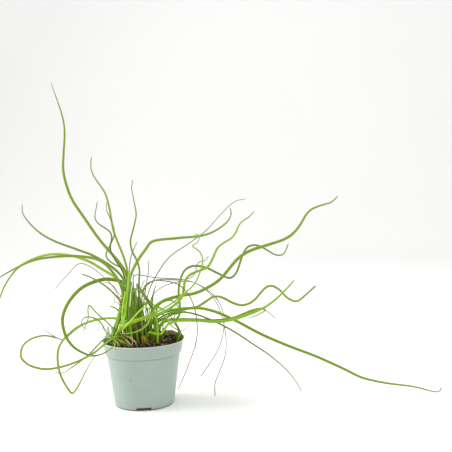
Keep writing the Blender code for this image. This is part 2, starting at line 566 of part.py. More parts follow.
def ease_apart(curves, solids):
    """Slide the stems along the line of sight until every two have air between them."""
    owner = np.concatenate([[k]*len(c[0]) for k, c in enumerate(curves)])
    places = np.concatenate([c[0] for c in curves])
    radii = np.concatenate([c[1] for c in curves])
    freedom = np.concatenate([np.clip((run_lengths(c[0]) - ROOT_STALK)/EASE_REACH, 0, 1)
                              for c in curves])
    sight = places - EYE
    sight /= np.linalg.norm(sight, axis=1)[:, None]
    for turn in range(EASE_ROUNDS):
        if turn % 10 == 0:
            places += off_the_pot(places, radii, freedom, solids)
            first, second = close_pairs(places, owner, radii, STEM_CLEARANCE + 3.0)
        away = places[second] - places[first]
        distance = np.linalg.norm(away, axis=1)
        short = radii[first] + radii[second] + STEM_CLEARANCE - distance
        short = np.clip(short, 0.0, 1.5)
        side = np.where((away*sight[first]).sum(axis=1) >= 0.0, 1.0, -1.0)
        push = np.zeros(len(places))
        np.add.at(push, second, 0.25*short*side)
        np.add.at(push, first, -0.25*short*side)
        push = np.clip(spread_along(push, owner)*freedom, -1.0, 1.0)
        places += sight*push[:, None]
    starts = np.cumsum([0] + [len(c[0]) for c in curves])
    return [places[a:b] for a, b in zip(starts[:-1], starts[1:])]


def ring_places(samples):
    """The fewest samples whose straight links stay near the curve."""
    chosen = [0, 1]
    while chosen[-1] < len(samples) - 1:
        start = chosen[-1]
        reach = start + 1
        for end in range(start + 2, len(samples)):
            link = samples[end] - samples[start]
            length = np.linalg.norm(link)
            between = samples[start + 1:end] - samples[start]
            along = between @ link/length**2
            off = between - along[:, None]*link
            if length > RING_SPACING or np.linalg.norm(off, axis=1).max() > RING_TOLERANCE:
                break
            reach = end
        chosen.append(reach)
    return chosen


def links(centres, radii):
    """Points every half millimetre or so along the straight links, with the radius there."""
    places, sizes, ring = [], [], []
    for k in range(len(centres) - 1):
        length = np.linalg.norm(centres[k + 1] - centres[k])
        for share in np.arange(0.0, 1.0, LINK_STEP/max(length, LINK_STEP)):
            places.append(centres[k] + share*(centres[k + 1] - centres[k]))
            sizes.append(radii[k] + share*(radii[k + 1] - radii[k]))
            ring.append((k, k + 1))
    places.append(centres[-1])
    sizes.append(radii[-1])
    ring.append((len(centres) - 1, len(centres) - 1))
    return np.array(places), np.array(sizes), ring


def slim_where_crowded(tubes):
    """Draw a stem in where its neighbour is too near, as pressed stems are."""
    for _ in range(SLIM_ROUNDS):
        sets = [links(centres, radii) for centres, radii in tubes]
        places = np.concatenate([s[0] for s in sets])
        sizes = np.concatenate([s[1] for s in sets])
        owner = np.concatenate([[k]*len(s[0]) for k, s in enumerate(sets)])
        rings = [pair for s in sets for pair in s[2]]
        first, second = close_pairs(places, owner, sizes, GAP)
        distance = np.linalg.norm(places[second] - places[first], axis=1)
        short = sizes[first] + sizes[second] + GAP - distance
        bad = np.nonzero(short > 0.0)[0]
        if len(bad) == 0:
            return
        for index in bad:
            for sample in (first[index], second[index]):
                radii = tubes[owner[sample]][1]
                for ring in rings[sample]:
                    radii[ring] = max(THINNEST, min(radii[ring], sizes[sample] - 0.55*short[index]))


def build_stems(pot, soil):
    curves = first_curves(root_spots(), soil)
    eased = ease_apart(curves, (soil, pot))
    tubes = []
    for (samples, radii), moved in zip(curves, eased):
        chosen = ring_places(moved)
        centres = moved[chosen]
        sizes = radii[chosen].copy()
        centres[1:, 2] = np.maximum(centres[1:, 2], sizes[1:] + TABLE_CLEARANCE)
        tubes.append((centres, sizes))
    slim_where_crowded(tubes)
    for (name, finish, *_), (centres, sizes) in zip(STEMS, tubes):
        build_stem(name, finish, centres, sizes)


def build_stem(name, finish, centres, sizes):
    """A round stem: a curve with a bevel, drawn in by the radius at each of its points."""
    curve = bpy.data.curves.new(name, "CURVE")
    curve.dimensions = "3D"
    curve.bevel_depth = MM
    curve.bevel_resolution = 1
    curve.use_fill_caps = True
    spline = curve.splines.new("POLY")
    spline.points.add(len(centres) - 1)
    for point, centre, size in zip(spline.points, centres, sizes):
        point.co = (*(Vector(centre)*MM), 1.0)
        point.radius = size
    add_object(name, curve, finish)


def main():
    clear_scene()
    pot = build_pot()
    soil = build_soil()
    build_stems(pot, soil)


main()
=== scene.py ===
"""Dresses the potted corkscrew rush: round green culms, brown sheaths, peat, straw and a moulded pot."""
import json
import math
import random

import bmesh
import bpy
import numpy as np
from bpy.props import FloatProperty, FloatVectorProperty, IntProperty, PointerProperty
from mathutils import Matrix, Vector, noise
from mathutils.bvhtree import BVHTree
from mathutils.kdtree import KDTree


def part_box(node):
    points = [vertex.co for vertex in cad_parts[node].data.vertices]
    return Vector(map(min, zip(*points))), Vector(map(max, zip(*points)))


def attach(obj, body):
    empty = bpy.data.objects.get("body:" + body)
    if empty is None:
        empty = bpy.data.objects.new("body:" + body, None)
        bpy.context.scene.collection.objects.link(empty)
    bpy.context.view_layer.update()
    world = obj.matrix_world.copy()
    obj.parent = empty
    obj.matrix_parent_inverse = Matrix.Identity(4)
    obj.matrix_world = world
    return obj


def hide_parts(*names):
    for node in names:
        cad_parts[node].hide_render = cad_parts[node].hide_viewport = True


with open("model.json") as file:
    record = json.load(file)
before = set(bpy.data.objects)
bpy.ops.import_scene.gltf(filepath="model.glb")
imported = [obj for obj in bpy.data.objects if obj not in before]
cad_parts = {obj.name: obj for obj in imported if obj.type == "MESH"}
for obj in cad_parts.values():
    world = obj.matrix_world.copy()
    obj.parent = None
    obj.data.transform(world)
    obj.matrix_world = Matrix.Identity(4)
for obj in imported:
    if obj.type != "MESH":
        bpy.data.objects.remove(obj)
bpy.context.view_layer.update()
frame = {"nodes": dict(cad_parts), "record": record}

bl_info = {
    "name": "Potted Corkscrew Rush",
    "version": (1, 0, 0),
    "blender": (4, 5, 0),
    "location": "3D View > Sidebar > Rush",
    "description": "Grows the culms, sheaths, peat, straw and pot of a small potted corkscrew rush",
    "category": "Object",
}

MM = 0.001
BODY = "root"

# Camera of the photograph: place in metres, tilt in degrees, sensor in mm, picture in pixels
EYE = Vector((0.096, -0.726, 0.219))
PITCH = 1.79
ROLL = -1.38
SENSOR = 36.0
IMAGE_WIDTH = 452
FOCAL_PIXELS = 650

# Points closer than this become one: in the CAD nodes' loose triangles, and in the pieces made here
CAD_WELD = 0.002*MM
WELD = 0.003*MM

# Outer radii of the pot from its foot up, the level of the peat and of its shoulder, in mm
FOOT_RADIUS = 32.9
BODY_TOP_RADIUS = 40.9
BAND_FOOT_RADIUS = 42.6
RIM_RADIUS = 45.0
PEAT_LEVEL = 67.0
PEAT_SHOULDER = 62.0

# Spot of mould on the front of the pot, and a height over the peat to look down on it from
MOULD_SPOT = (-10.1*MM, -36.0*MM, 34.4*MM)
OVERHEAD = 0.2
DOWN = Vector((0, 0, -1))

# How far from the pot's axis the loose pieces may lie
CRUMB_REACH = 41.6*MM
BANK_REACH = 40.5*MM
FIBRE_REACH = 41.0*MM
MOSS_REACH = 42.0*MM

# Rows and sides of a sheath, and how far under its culm's foot it starts
SHEATH_ROWS = 18
SHEATH_SIDES = 20
SHEATH_START = 1.5*MM

# Old bases, from least to most in mm: height, radius and distance from a culm's foot
BASE_HEIGHT = (5.0, 24.0)
BASE_RADIUS = (0.55, 1.05)
BASE_AWAY = (1.8, 5.5)
BASE_APART = 1.7*MM

# Facets round the peat, and crumbs in each drain slot
PEAT_FACETS = 220
SLOT_CRUMBS = 130

# Joints of a loose fibre, the distance between them, and between the rings of straw and threads
FIBRE_JOINTS = 6
FIBRE_STEP = 1.3*MM
STRAW_STEP = 0.8*MM

# Paper sweep: half its width, and the reach of its bend, in metres
SWEEP_REACH = 3.0
SWEEP_BEND = 1.2

# Soft lights: (name, setting that holds its power, width, place, aim, colour), in metres
LIGHTS = (
    ("key_light", "key", 1.3, (-1.35, 0.1, 0.95), (0.0, 0.0, 0.12), (1.0, 0.99, 0.97)),
    ("fill_light", "fill", 1.2, (1.3, -0.3, 0.6), (0.05, 0.0, 0.12), (1.0, 1.0, 1.0)),
)

# Culms that keep a dry brown sheath round the foot: (node, height in mm, which way it opens in degrees)
SHEATHED = (
    ("stem_crown_front", 7, 250), ("stem_crown_left", 9, 200), ("stem_crown_pale", 13, 300),
    ("stem_crown_middle", 10, 280), ("stem_crown_right", 7, 330), ("stem_crown_leaning", 9, 20),
    ("stem_crown_deep", 14, 260), ("stem_lime_left", 6, 180), ("stem_tall_left", 12, 240),
    ("stem_wavy_centre", 10, 290), ("stem_longest_right", 8, 310), ("stem_long_rising", 9, 350),
    ("stem_drooping_front", 7, 270), ("stem_pale_upright", 10, 260), ("stem_arched_centre", 6, 220),
    ("stem_kinked_right", 11, 230), ("stem_left_arc_back", 12, 120), ("stem_curly_tall", 13, 100),
    ("stem_wavy_right", 7, 40), ("stem_back_tall", 14, 90), ("stem_back_left", 12, 130),
    ("stem_back_right", 12, 60), ("stem_curly_left", 9, 210), ("stem_wavy_left", 10, 240),
    ("stem_dark_thin_right", 6, 320), ("stem_hooked_right", 6, 340),
)

# Green culms that are younger and brighter than the rest
YOUNGER = ("stem_low_loop_left", "stem_wavy_right", "stem_curly_tall", "stem_hook_left")

# Fine dry threads: (name, finish, diameter in mm, culm it grows from, route of (across, up) in mm
# on the upright plane through the pot's axis, as seen from the camera)
THREADS = (
    ("thread_rosy_left", "thread_rosy", 0.5, "stem_small_curl_left",
     [(-45, 83.5), (-49, 83), (-52, 84), (-54, 86), (-56, 89), (-57, 91), (-58.5, 92.5)]),
    ("thread_rosy_fork", "thread_rosy", 0.4, "stem_small_curl_left",
     [(-51, 83.6), (-53.4, 85.4), (-54, 88), (-53.6, 90), (-54.4, 92)]),
    ("thread_dark_left", "thread_dark", 0.75, "stem_short_left",
     [(-24, 120), (-27, 125), (-30, 130), (-33, 133), (-36, 135), (-40, 136.2), (-44, 136)]),
    ("thread_dark_bow", "thread_dark", 0.8, "stem_short_left",
     [(-21.7, 108), (-25, 110.6), (-28, 113), (-30.4, 114), (-31.4, 117), (-31.2, 120), (-30.6, 122.6)]),
    ("thread_grey_fine", "thread_rosy", 0.35, "stem_short_pale_left",
     [(-34, 109), (-37, 109.4), (-40, 112), (-38.6, 115), (-36, 118.4), (-35, 121)]),
    ("thread_grey_side", "thread_grey", 0.3, "stem_short_pale_left",
     [(-35, 108.4), (-39, 107.2), (-43, 107.8), (-47, 108.8)]),
    ("thread_pale_fall", "thread_grey", 0.4, "straw_drooping",
     [(79, 121), (82, 118), (85, 114), (89, 110.6), (93, 107), (98, 102), (104, 96)]),
    ("thread_pale_low", "thread_grey", 0.45, "stem_short_right",
     [(41, 76), (46, 74.4), (51, 72), (55, 69.4), (58, 66), (58.6, 60), (59, 54), (61, 50.4),
      (65, 47.6), (70, 42.4), (74, 39.4), (79, 36)]),
    ("thread_pale_high", "thread_grey", 0.35, "stem_fine_curl",
     [(18, 137), (24, 138.4), (31, 137), (38, 136.6), (44, 135), (50, 133.4)]),
)

# Dry scraps that lie on the peat or lean on the culms' feet: (name, finish, width in mm, thickness
# as a share of it, route of (across, up, back) in mm; a point with no back lies on the peat)
SCRAPS = (
    ("leaf_blade_front", "leaf_lime", 2.4, 0.35,
     [(-34, 75, -21), (-30, 73.2, -23), (-26, 71.2, -25), (-19.7, 67.8, -27.5),
      (-16, 64.8, -28), (-14.5, 62.3)]),
    ("leaf_blade_left", "leaf_lime", 2.0, 0.35,
     [(-38, 77.5, -16), (-34, 73.4, -22), (-30, 69, -26), (-27.5, 65.4, -29), (-26, 62.4)]),
    ("straw_scrap_white", "straw_pale", 1.2, 0.5,
     [(-25, 75.6, -26.5), (-19.6, 71.1, -28), (-14, 65.1, -29), (-12.6, 62.2)]),
    ("straw_scrap_peach", "straw_peach", 1.0, 0.6,
     [(-22, 77.2, -26.5), (-18.2, 75, -28), (-13.7, 72.9, -28.5), (-10.6, 69.6, -28.5),
      (-8.7, 66.6, -28), (-8.4, 62.6)]),
    ("straw_scrap_bent", "straw_peach", 0.9, 0.6,
     [(-16, 74.4, -28.5), (-13.2, 73.5, -29), (-11.6, 70.4, -29.4), (-12.4, 66.4, -29.6), (-12, 62.2)]),
    ("straw_scrap_low", "straw_peach", 1.0, 0.6,
     [(-15.4, 72.4, -28), (-12, 71.4, -28.6), (-9.4, 69.4, -28.8), (-7.8, 66.4, -28.4), (-6.4, 62.6)]),
    ("straw_scrap_rust", "straw_rust", 1.1, 0.5,
     [(-30.4, 68.8, -24.5), (-25.5, 67, -27), (-21.7, 64.4, -28.4), (-19.6, 62.2)]),
    ("straw_scrap_rust_short", "straw_peach", 0.9, 0.6,
     [(-26.4, 69.6, -25.5), (-23, 68, -27.4), (-19.5, 66.4, -28.4), (-17, 62.6)]),
    ("straw_scrap_yellow", "straw_yellow", 1.5, 0.5,
     [(-32.4, 73.4, -22), (-31.4, 69, -26), (-32.2, 65.2, -29.4), (-32.8, 61.6)]),
    ("straw_scrap_tip", "straw_yellow", 1.0, 0.5,
     [(-28.6, 70, -25), (-29.4, 66.6, -27.5), (-28.8, 63.6, -29.4), (-29.2, 61.6)]),
    ("straw_scrap_over_rim", "straw_yellow", 0.55, 0.9,
     [(-31.4, 66.4, -28), (-32.2, 64.8, -36.6), (-33.1, 61.4, -37.6), (-38.3, 58.8, -35.4),
      (-44.4, 57, -31)]),
    ("straw_scrap_middle", "straw_pale", 1.0, 0.5, [(4, 66.2), (7, 67.4), (10, 67.2), (12, 66.2)]),
    ("straw_scrap_right", "straw_peach", 0.9, 0.5, [(22, 69), (26, 69.6), (29, 71)]),
    ("sheath_scrap_brown", "sheath_rust", 2.6, 0.3,
     [(-8.6, 80.6, -23.9), (-7.2, 86, -24.8), (-7.2, 90, -25), (-8.2, 94, -24.9)]),
    ("sheath_scrap_ochre", "sheath_ochre", 2.8, 0.35,
     [(-0.2, 62.4, -26.4), (-0.2, 66.6, -26.4), (-0.4, 70, -26.4), (-0.6, 73, -25.6), (-1.2, 76, -24)]),
    ("sheath_scrap_amber", "sheath_olive", 2.8, 0.35,
     [(2.8, 62.4, -27), (2.6, 66.4, -27), (2.4, 69.4, -27.6), (1.6, 72.4, -27.4), (0.6, 75.8, -26)]),
    ("sheath_scrap_high", "sheath_olive", 2.2, 0.5,
     [(-27.4, 119.2, -34.5), (-25.7, 117.6, -34.3), (-23.5, 114.4, -33.4), (-22.3, 111.4, -32.6)]),
    ("sheath_scrap_silver", "sheath_white", 1.7, 0.3,
     [(-14.2, 108, -31.6), (-13.1, 118, -33.4), (-12.2, 124.5, -34.6), (-10.8, 132.2, -35.6),
      (-9.6, 140.6, -36)]),
    ("sheath_scrap_curl", "straw_rust", 0.8, 0.6,
     [(-22.6, 113.2, -33.6), (-25.2, 113.6, -34.8), (-26.9, 112.2, -35), (-25.4, 110.2, -34.8),
      (-24.2, 107.4, -34.4)]),
    ("sheath_frayed_left", "sheath_white", 3.0, 0.16,
     [(-36, 73.4, -19), (-38.2, 77.6, -22), (-38.8, 82, -25), (-39.6, 87, -27)]),
    ("sheath_frayed_middle", "sheath_white", 2.6, 0.16,
     [(-37, 73, -19), (-39.8, 76, -22), (-41.4, 79.6, -24), (-42, 83.4, -26)]),
    ("sheath_frayed_low", "sheath_white", 1.8, 0.2,
     [(-38, 73.4, -20), (-41, 75, -22), (-43.4, 76, -23), (-45.6, 75.4, -24)]),
    ("sheath_frayed_inner", "sheath_white", 2.0, 0.2,
     [(-33, 73.6, -21), (-34.4, 78, -24), (-34.8, 82, -26), (-36, 85, -27)]),
)

# Slender shoots of the crown: (name, finish, diameter in mm, culm it grows from, route as above)
SHOOTS = (
    ("shoot_arching", "shoot_lime", 2.2, "stem_lime_inner",
     [(-24, 82, -28), (-17, 88.5, -40), (-11.8, 94.2, -43), (-6.5, 100, -45), (-2.5, 103.9, -46),
      (1.4, 106.8, -47), (4.2, 107.6, -47.5), (6.9, 105.6, -48), (8.2, 102.8, -48.5)]),
    ("shoot_pale_left", "shoot_pale", 1.8, "stem_lime_inner",
     [(-25.1, 82.2, -20), (-22.8, 89.3, -28), (-22.1, 95, -30), (-22.8, 100.4, -31), (-24.2, 105.4, -32)]),
    ("shoot_left_band", "shoot_lime", 2.8, "stem_lime_left",
     [(-35.6, 76.5, -21), (-33.5, 82.5, -24.5), (-30.9, 89.3, -27), (-28.6, 95, -28.5), (-26.4, 101, -30),
      (-24.8, 107, -31.5)]),
    ("shoot_left_fan", "shoot_lime", 2.5, "stem_lime_inner",
     [(-31.5, 75, -25), (-28.9, 79.6, -28), (-25.6, 84.6, -30), (-21.5, 89.8, -32), (-17.6, 93.6, -34)]),
    ("shoot_crossing", "shoot_deep", 1.9, "stem_crown_middle",
     [(-3, 80, -24), (3, 88, -30), (9.5, 92.5, -33), (17, 94, -34), (25, 97.4, -35)]),
    ("shoot_low_right", "shoot_green", 2.5, "stem_crown_right",
     [(15, 88, -16), (20.6, 92.6, -20), (27, 95.8, -22), (34, 98.4, -23), (41, 99.8, -23.6),
      (49, 101.6, -23)]),
    ("shoot_curved_right", "shoot_lime", 2.2, "stem_crown_right",
     [(14, 96, -15), (18.4, 99.4, -20), (23.4, 98.6, -22), (27.4, 94.4, -23), (29.6, 89.6, -23)]),
    ("shoot_right_rim", "shoot_green", 1.7, "stem_hairpin_right",
     [(37.4, 88, 3), (39.6, 83.6, 0), (41.9, 79.3, -2), (44.6, 73.8, -3), (46.6, 70.6, -3)]),
    ("shoot_upright_right", "shoot_deep", 1.5, "stem_wavy_right",
     [(21, 87, 8), (24, 90, 4), (29.4, 93.4, 2), (34.6, 94.4, 1), (36.8, 98.4, 0)]),
    ("shoot_dark_centre", "shoot_deep", 2.3, "stem_crown_deep",
     [(2, 84, -4), (-2.4, 96, -12), (-4.6, 108, -15), (-3.6, 120, -17), (-1.4, 127, -18)]),
    ("shoot_dark_side", "shoot_deep", 2.1, "stem_crown_middle",
     [(3.6, 80, -6), (6.4, 92, -8), (5.6, 104, -9), (2.6, 114, -10)]),
    ("shoot_bright_upright", "shoot_lime", 2.9, "stem_crown_left",
     [(-20.6, 86, -27), (-20.4, 96, -32), (-18.6, 108, -34.5), (-17, 120, -36), (-15.6, 132, -36.5),
      (-14.2, 142, -36), (-12.8, 150, -35)]),
    ("shoot_bright_side", "shoot_lime", 2.2, "stem_lime_inner",
     [(-23.4, 88, -22), (-22.6, 98, -30), (-22, 108, -35.5), (-20.2, 118, -38), (-18.4, 126, -38.5)]),
    ("shoot_bow_right", "shoot_green", 1.7, "stem_crown_deep",
     [(-1, 104, -12), (0.4, 108.6, -20), (4.5, 111.2, -26), (9.5, 110.8, -29), (14, 109.5, -31),
      (18.5, 107.5, -32), (22.6, 104.9, -33), (26.4, 103, -34)]),
    ("shoot_bow_low", "shoot_lime", 1.5, "stem_crown_right",
     [(11, 98, -19), (12.6, 103.4, -26), (17, 106, -29), (21.4, 104, -31), (23.6, 100, -32)]),
)

# Moss on the peat: (name, finish, middle, reach, number of hairs, height, thickness, lean), in mm
MOSSES = (
    ("moss_on_mound", "peat_moss", (27.0, 18.0), 14.0, 2000, 2.0, 0.55, (0.0, 0.0)),
    ("moss_at_rim", "green_moss", (38.5, 1.0), 4.0, 380, 6.8, 0.7, (0.65, -0.2)),
)

# Living finishes: (setting that holds the colour, colour of the old end, how dry the tip is, reach
# of the painted shade at the foot and of the dry tip in mm)
LIVING = {
    "rush_green": ("green", "#748E20", 0.85, 15.0, 20.0),
    "rush_lime": ("lime", "#7A9C24", 0.60, 7.0, 14.0),
    "rush_deep_green": ("deep", "#6A7E2C", 0.90, 15.0, 20.0),
    "rush_pale": ("pale", "#9CAA7C", 0.60, 15.0, 20.0),
    "rush_young": ("young", "#869C34", 0.85, 15.0, 20.0),
    "rush_fine": ("fine", "#66703C", 0.90, 15.0, 20.0),
    "shoot_lime": ("lime", "#9CC834", 0.30, 2.0, 4.0),
    "shoot_green": ("green", "#86A822", 0.30, 2.0, 4.0),
    "shoot_deep": ("deep", "#5E8412", 0.30, 2.0, 4.0),
    "shoot_pale": ("pale", "#B4C88C", 0.30, 2.0, 4.0),
}

# Dead finishes: (pale colour of the streaks, dark colour, roughness)
DEAD = {
    "rush_straw": ("#8F8460", "#5C5236", 0.7),
    "old_base": ("#8A7A26", "#5E4A18", 0.8),
    "dried_peat": ("#B9AE98", "#857A66", 0.9),
    "pressed_peat": ("#9A763C", "#6E5026", 0.9),
    "peat_fibre": ("#8A6A44", "#4A3322", 0.8),
    "peat_moss": ("#D2CAA6", "#A8A07A", 0.9),
    "green_moss": ("#8E9E44", "#6A7A2C", 0.8),
    "leaf_lime": ("#A4CC44", "#78A022", 0.5),
    "straw_pale": ("#F0F2DA", "#C8CFA4", 0.65),
    "straw_peach": ("#EBC6A2", "#CC9C70", 0.7),
    "straw_rust": ("#A45C2A", "#6E3C1C", 0.7),
    "straw_yellow": ("#DCCB86", "#B29A50", 0.7),
    "sheath_rust": ("#80602E", "#55401C", 0.6),
    "sheath_ochre": ("#BE9A26", "#8E6E18", 0.6),
    "sheath_olive": ("#C4A22A", "#968420", 0.6),
    "sheath_white": ("#E4EED2", "#BCD296", 0.5),
    "thread_rosy": ("#9C786C", "#6E4C44", 0.7),
    "thread_dark": ("#4E4836", "#332E22", 0.7),
    "thread_grey": ("#A9A99C", "#85867A", 0.7),
}


def from_hex(code):
    """An sRGB hex colour as linear red, green and blue with full alpha."""
    channels = [int(code[k:k + 2], 16)/255 for k in (1, 3, 5)]
    return (*(c/12.92 if c <= 0.04045 else ((c + 0.055)/1.055)**2.4 for c in channels), 1.0)


def shaded(colour, share, lift=0.0):
    """A linear colour made darker or lighter, with full alpha."""
    return (*(min(1.0, share*c + lift) for c in colour), 1.0)


def colour_property(name, description, code):
    return FloatVectorProperty(name=name, description=description, subtype="COLOR", size=3,
                               min=0.0, max=1.0, default=from_hex(code)[:3])


def length_property(name, description, size):
    """A length that the user sets, from millimetres."""
    return FloatProperty(name=name, description=description, default=size*MM, unit="LENGTH")


def count_property(name, description, count):
    return IntProperty(name=name, description=description, default=count, min=0)


class CulmSettings(bpy.types.PropertyGroup):
    """Sizes and colours of the living culms."""
    sides: IntProperty(name="Sides", description="Facets round a culm", default=12, min=6, max=24)
    ring_step: length_property("Ring step", "Distance between rings along a culm", 1.3)
    root_depth: length_property("Root depth", "How far a culm goes on into the peat", 4.0)
    tip_point: length_property("Tip point", "Length of the rounded end of a tip", 1.4)
    ridge_pitch: length_property("Ridge pitch", "Distance between the fine ridges", 0.55)
    sheath_wall: length_property("Sheath wall", "Thickness of a dry basal sheath", 0.14)
    fine_width: length_property("Fine width", "Culms thinner than this are old and fine", 1.5)
    least_width: length_property("Least width", "Thickness of the finest culm's skin", 0.95)
    bases: count_property("Old bases", "Short stubs between the culms' feet", 150)
    green: colour_property("Green", "Colour of most culms", "#86B60C")
    lime: colour_property("Lime", "Colour of the young culms", "#A6D61C")
    young: colour_property("Young green", "Colour of the younger green culms", "#98C214")
    deep: colour_property("Deep green", "Colour of the dark culms", "#6A9E04")
    pale: colour_property("Pale green", "Colour of the fading culms", "#A0BC6A")
    fine: colour_property("Fine culms", "Colour of the old thread-like culms", "#6C7A3C")


class PotSettings(bpy.types.PropertyGroup):
    """Sizes and colours of the pot, within the CAD pot's own."""
    steps: IntProperty(name="Steps", description="Facets round the pot", default=144, min=48, max=240)
    wall: length_property("Wall", "Thickness of the moulded wall", 1.2)
    band: length_property("Rim band", "Height of the band under the rim", 14.1)
    slots: count_property("Drain slots", "Slots round the foot", 4)
    slot_width: length_property("Slot width", "Width of a slot at the table", 18.0)
    slot_height: length_property("Slot height", "Height of a slot", 3.6)
    slot_turn: FloatProperty(name="First slot", description="Bearing of the first slot",
                             default=math.radians(-85.0), subtype="ANGLE", unit="ROTATION")
    plastic: colour_property("Plastic", "Colour of the pot", "#97A69D")


class PeatSettings(bpy.types.PropertyGroup):
    """The peat and what lies on it."""
    grain: length_property("Grain", "Spacing of the surface's fine lumps", 0.9)
    lump: length_property("Lump", "Height of the surface's lumps", 0.9)
    crumbs: count_property("Crumbs", "Loose crumbs on the surface", 1300)
    fibres: count_property("Fibres", "Loose fibres on the surface", 110)
    bank: count_property("Bank", "Crumbs heaped against the feet at the front", 1300)
    bank_height: length_property("Bank height", "Height of that heap", 4.2)
    bank_ridge: length_property("Bank ridge", "How far in front of the axis it is highest", 27.0)
    dark: colour_property("Dark peat", "Colour of moist peat", "#40352C")
    brown: colour_property("Brown peat", "Colour of dry peat and fibres", "#7E6244")


class StageSettings(bpy.types.PropertyGroup):
    """Floor, light and camera."""
    floor: colour_property("Floor", "Colour of the floor and backdrop", "#FAFAF9")
    sky: FloatProperty(name="Sky", description="Strength of the even light", default=0.86)
    key: FloatProperty(name="Key light", description="Power of the soft light at the left",
                       default=31.0, unit="POWER")
    fill: FloatProperty(name="Fill light", description="Power of the soft light at the right",
                        default=7.0, unit="POWER")


# Nodes of a material

def add_node(tree, kind, inputs=None, stops=None, **settings):
    """Adds a shader node with its settings, its inputs and a ramp's stops, and gives its outputs."""
    made = tree.nodes.new("ShaderNode" + kind)
    for name, value in settings.items():
        setattr(made, name, value)
    for key, value in (inputs or {}).items():
        if isinstance(value, bpy.types.NodeSocket):
            tree.links.new(value, made.inputs[key])
        else:
            made.inputs[key].default_value = value
    if stops:
        elements = made.color_ramp.elements
        while len(elements) < len(stops):
            elements.new(0.5)
        for element, (place, colour) in zip(elements, stops):
            element.position = place
            element.color = colour
    return made.outputs


def blank_material(name, roughness, ior, **constants):
    """A new material, its tree and its shader, with the values that are the same all over it."""
    mat = bpy.data.materials.new(name)
    mat.use_nodes = True
    tree = mat.node_tree
    shader = tree.nodes["Principled BSDF"]
    for key, value in {"Roughness": roughness, "IOR": ior, **constants}.items():
        shader.inputs[key.replace("_", " ")].default_value = value
    return mat, tree, shader


def culm_streaks(tree, stretch, scale, detail, roughness):
    """Seamless streaks along a culm, with its growth (share, mm from root, mm to tip) and its turn.

    X and Y of their space go round the culm by its UV, and Z along it, shortened by stretch.
    """
    uv = add_node(tree, "UVMap", uv_map="culm")
    split = add_node(tree, "SeparateXYZ", {0: uv[0]})
    attribute = add_node(tree, "Attribute", attribute_name="growth")
    growth = add_node(tree, "SeparateXYZ", {0: attribute["Vector"]})
    turn = add_node(tree, "Math", {0: split["X"], 1: 2*math.pi}, operation="MULTIPLY")
    across = add_node(tree, "Math", {0: turn[0]}, operation="COSINE")
    sideways = add_node(tree, "Math", {0: turn[0]}, operation="SINE")
    length = add_node(tree, "Math", {0: growth["Y"], 1: 1.0/stretch}, operation="MULTIPLY")
    space = add_node(tree, "CombineXYZ", {"X": across[0], "Y": sideways[0], "Z": length[0]})
    streaks = add_node(tree, "TexNoise", {"Vector": space[0], "Scale": scale, "Detail": detail,
                                          "Roughness": roughness})
    return streaks["Fac"], growth, turn[0]


def laid_over(tree, below, code, value, start, end, least, most):
    """Lays a colour over another: a share of least where the value is start, of most at end."""
    share = add_node(tree, "MapRange", {"Value": value, "From Min": start, "From Max": end,
                                        "To Min": least, "To Max": most})
    mixed = add_node(tree, "Mix", {"Factor": share[0], "A": below, "B": from_hex(code)},
                     data_type="RGBA")
    return mixed["Result"]


def finish_shader(tree, shader, colour, height, strength, depth, worn=None):
    """Gives the shader its colour, a bump, and a roughness by worn: (pattern, least, most)."""
    bump = add_node(tree, "Bump", {"Height": height, "Strength": strength, "Distance": depth})
    tree.links.new(colour, shader.inputs["Base Color"])
    tree.links.new(bump[0], shader.inputs["Normal"])
    if worn:
        pattern, least, most = worn
        varied = add_node(tree, "MapRange", {"Value": pattern, "To Min": least, "To Max": most})
        tree.links.new(varied[0], shader.inputs["Roughness"])


def culm_material(name, setting, old, dryness, foot_shade_reach, tip_reach):
    """Living rush culm: a smooth waxy skin on white pith, grown with fine ridges from root to tip.

    The wax gives a soft sheen along the length, and the ridges break it into fine lines. The foot
    is darkened to olive by painted shade over its given reach, the body green, the far end duller,
    and the last tip_reach millimetres dry and grey.
    """
    settings = bpy.context.scene.rush_culms
    body = getattr(settings, setting)
    mat, tree, shader = blank_material(name, 0.40, 1.45, Specular_IOR_Level=0.30, Sheen_Weight=0.10,
                                       Sheen_Roughness=0.4, Sheen_Tint=(0.80, 1.0, 0.40, 1.0))
    streaks, growth, turn = culm_streaks(tree, 9.0, 2.2, 4.0, 0.6)
    streaked = add_node(tree, "ValToRGB", {"Fac": streaks},
                        stops=[(0.30, shaded(body, 0.62)), (0.52, shaded(body, 1.0)),
                               (0.74, shaded(body, 1.22, 0.015))])
    aged = laid_over(tree, streaked["Color"], old, growth["X"], 0.04, 0.38, 0.0, 0.9)
    # Painted shade: the foot is dark olive where the culms stand crowded on the peat
    foot_shaded = laid_over(tree, aged, "#757E12", growth["Y"], 0.2*foot_shade_reach, foot_shade_reach, 1.0, 0.0)
    tipped = laid_over(tree, foot_shaded, "#918A80", growth["Z"], 1.0, tip_reach, dryness, 0.0)
    tone = add_node(tree, "Attribute", attribute_name="tone")
    value = add_node(tree, "MapRange", {"Value": tone["Fac"], "To Min": 0.78, "To Max": 1.12})
    toned = add_node(tree, "HueSaturation", {"Value": value[0], "Color": tipped})
    # As many ridges as go round a culm that is 3 mm thick
    ridges = round(math.pi*3.0*MM/settings.ridge_pitch)
    wave = add_node(tree, "Math", {0: turn, 1: float(ridges)}, operation="MULTIPLY")
    ridge = add_node(tree, "Math", {0: wave[0]}, operation="SINE")
    relief = add_node(tree, "Math", {0: ridge[0], 1: streaks}, operation="ADD")
    finish_shader(tree, shader, toned[0], relief[0], 0.5, 0.05*MM, (streaks, 0.30, 0.52))
    return mat


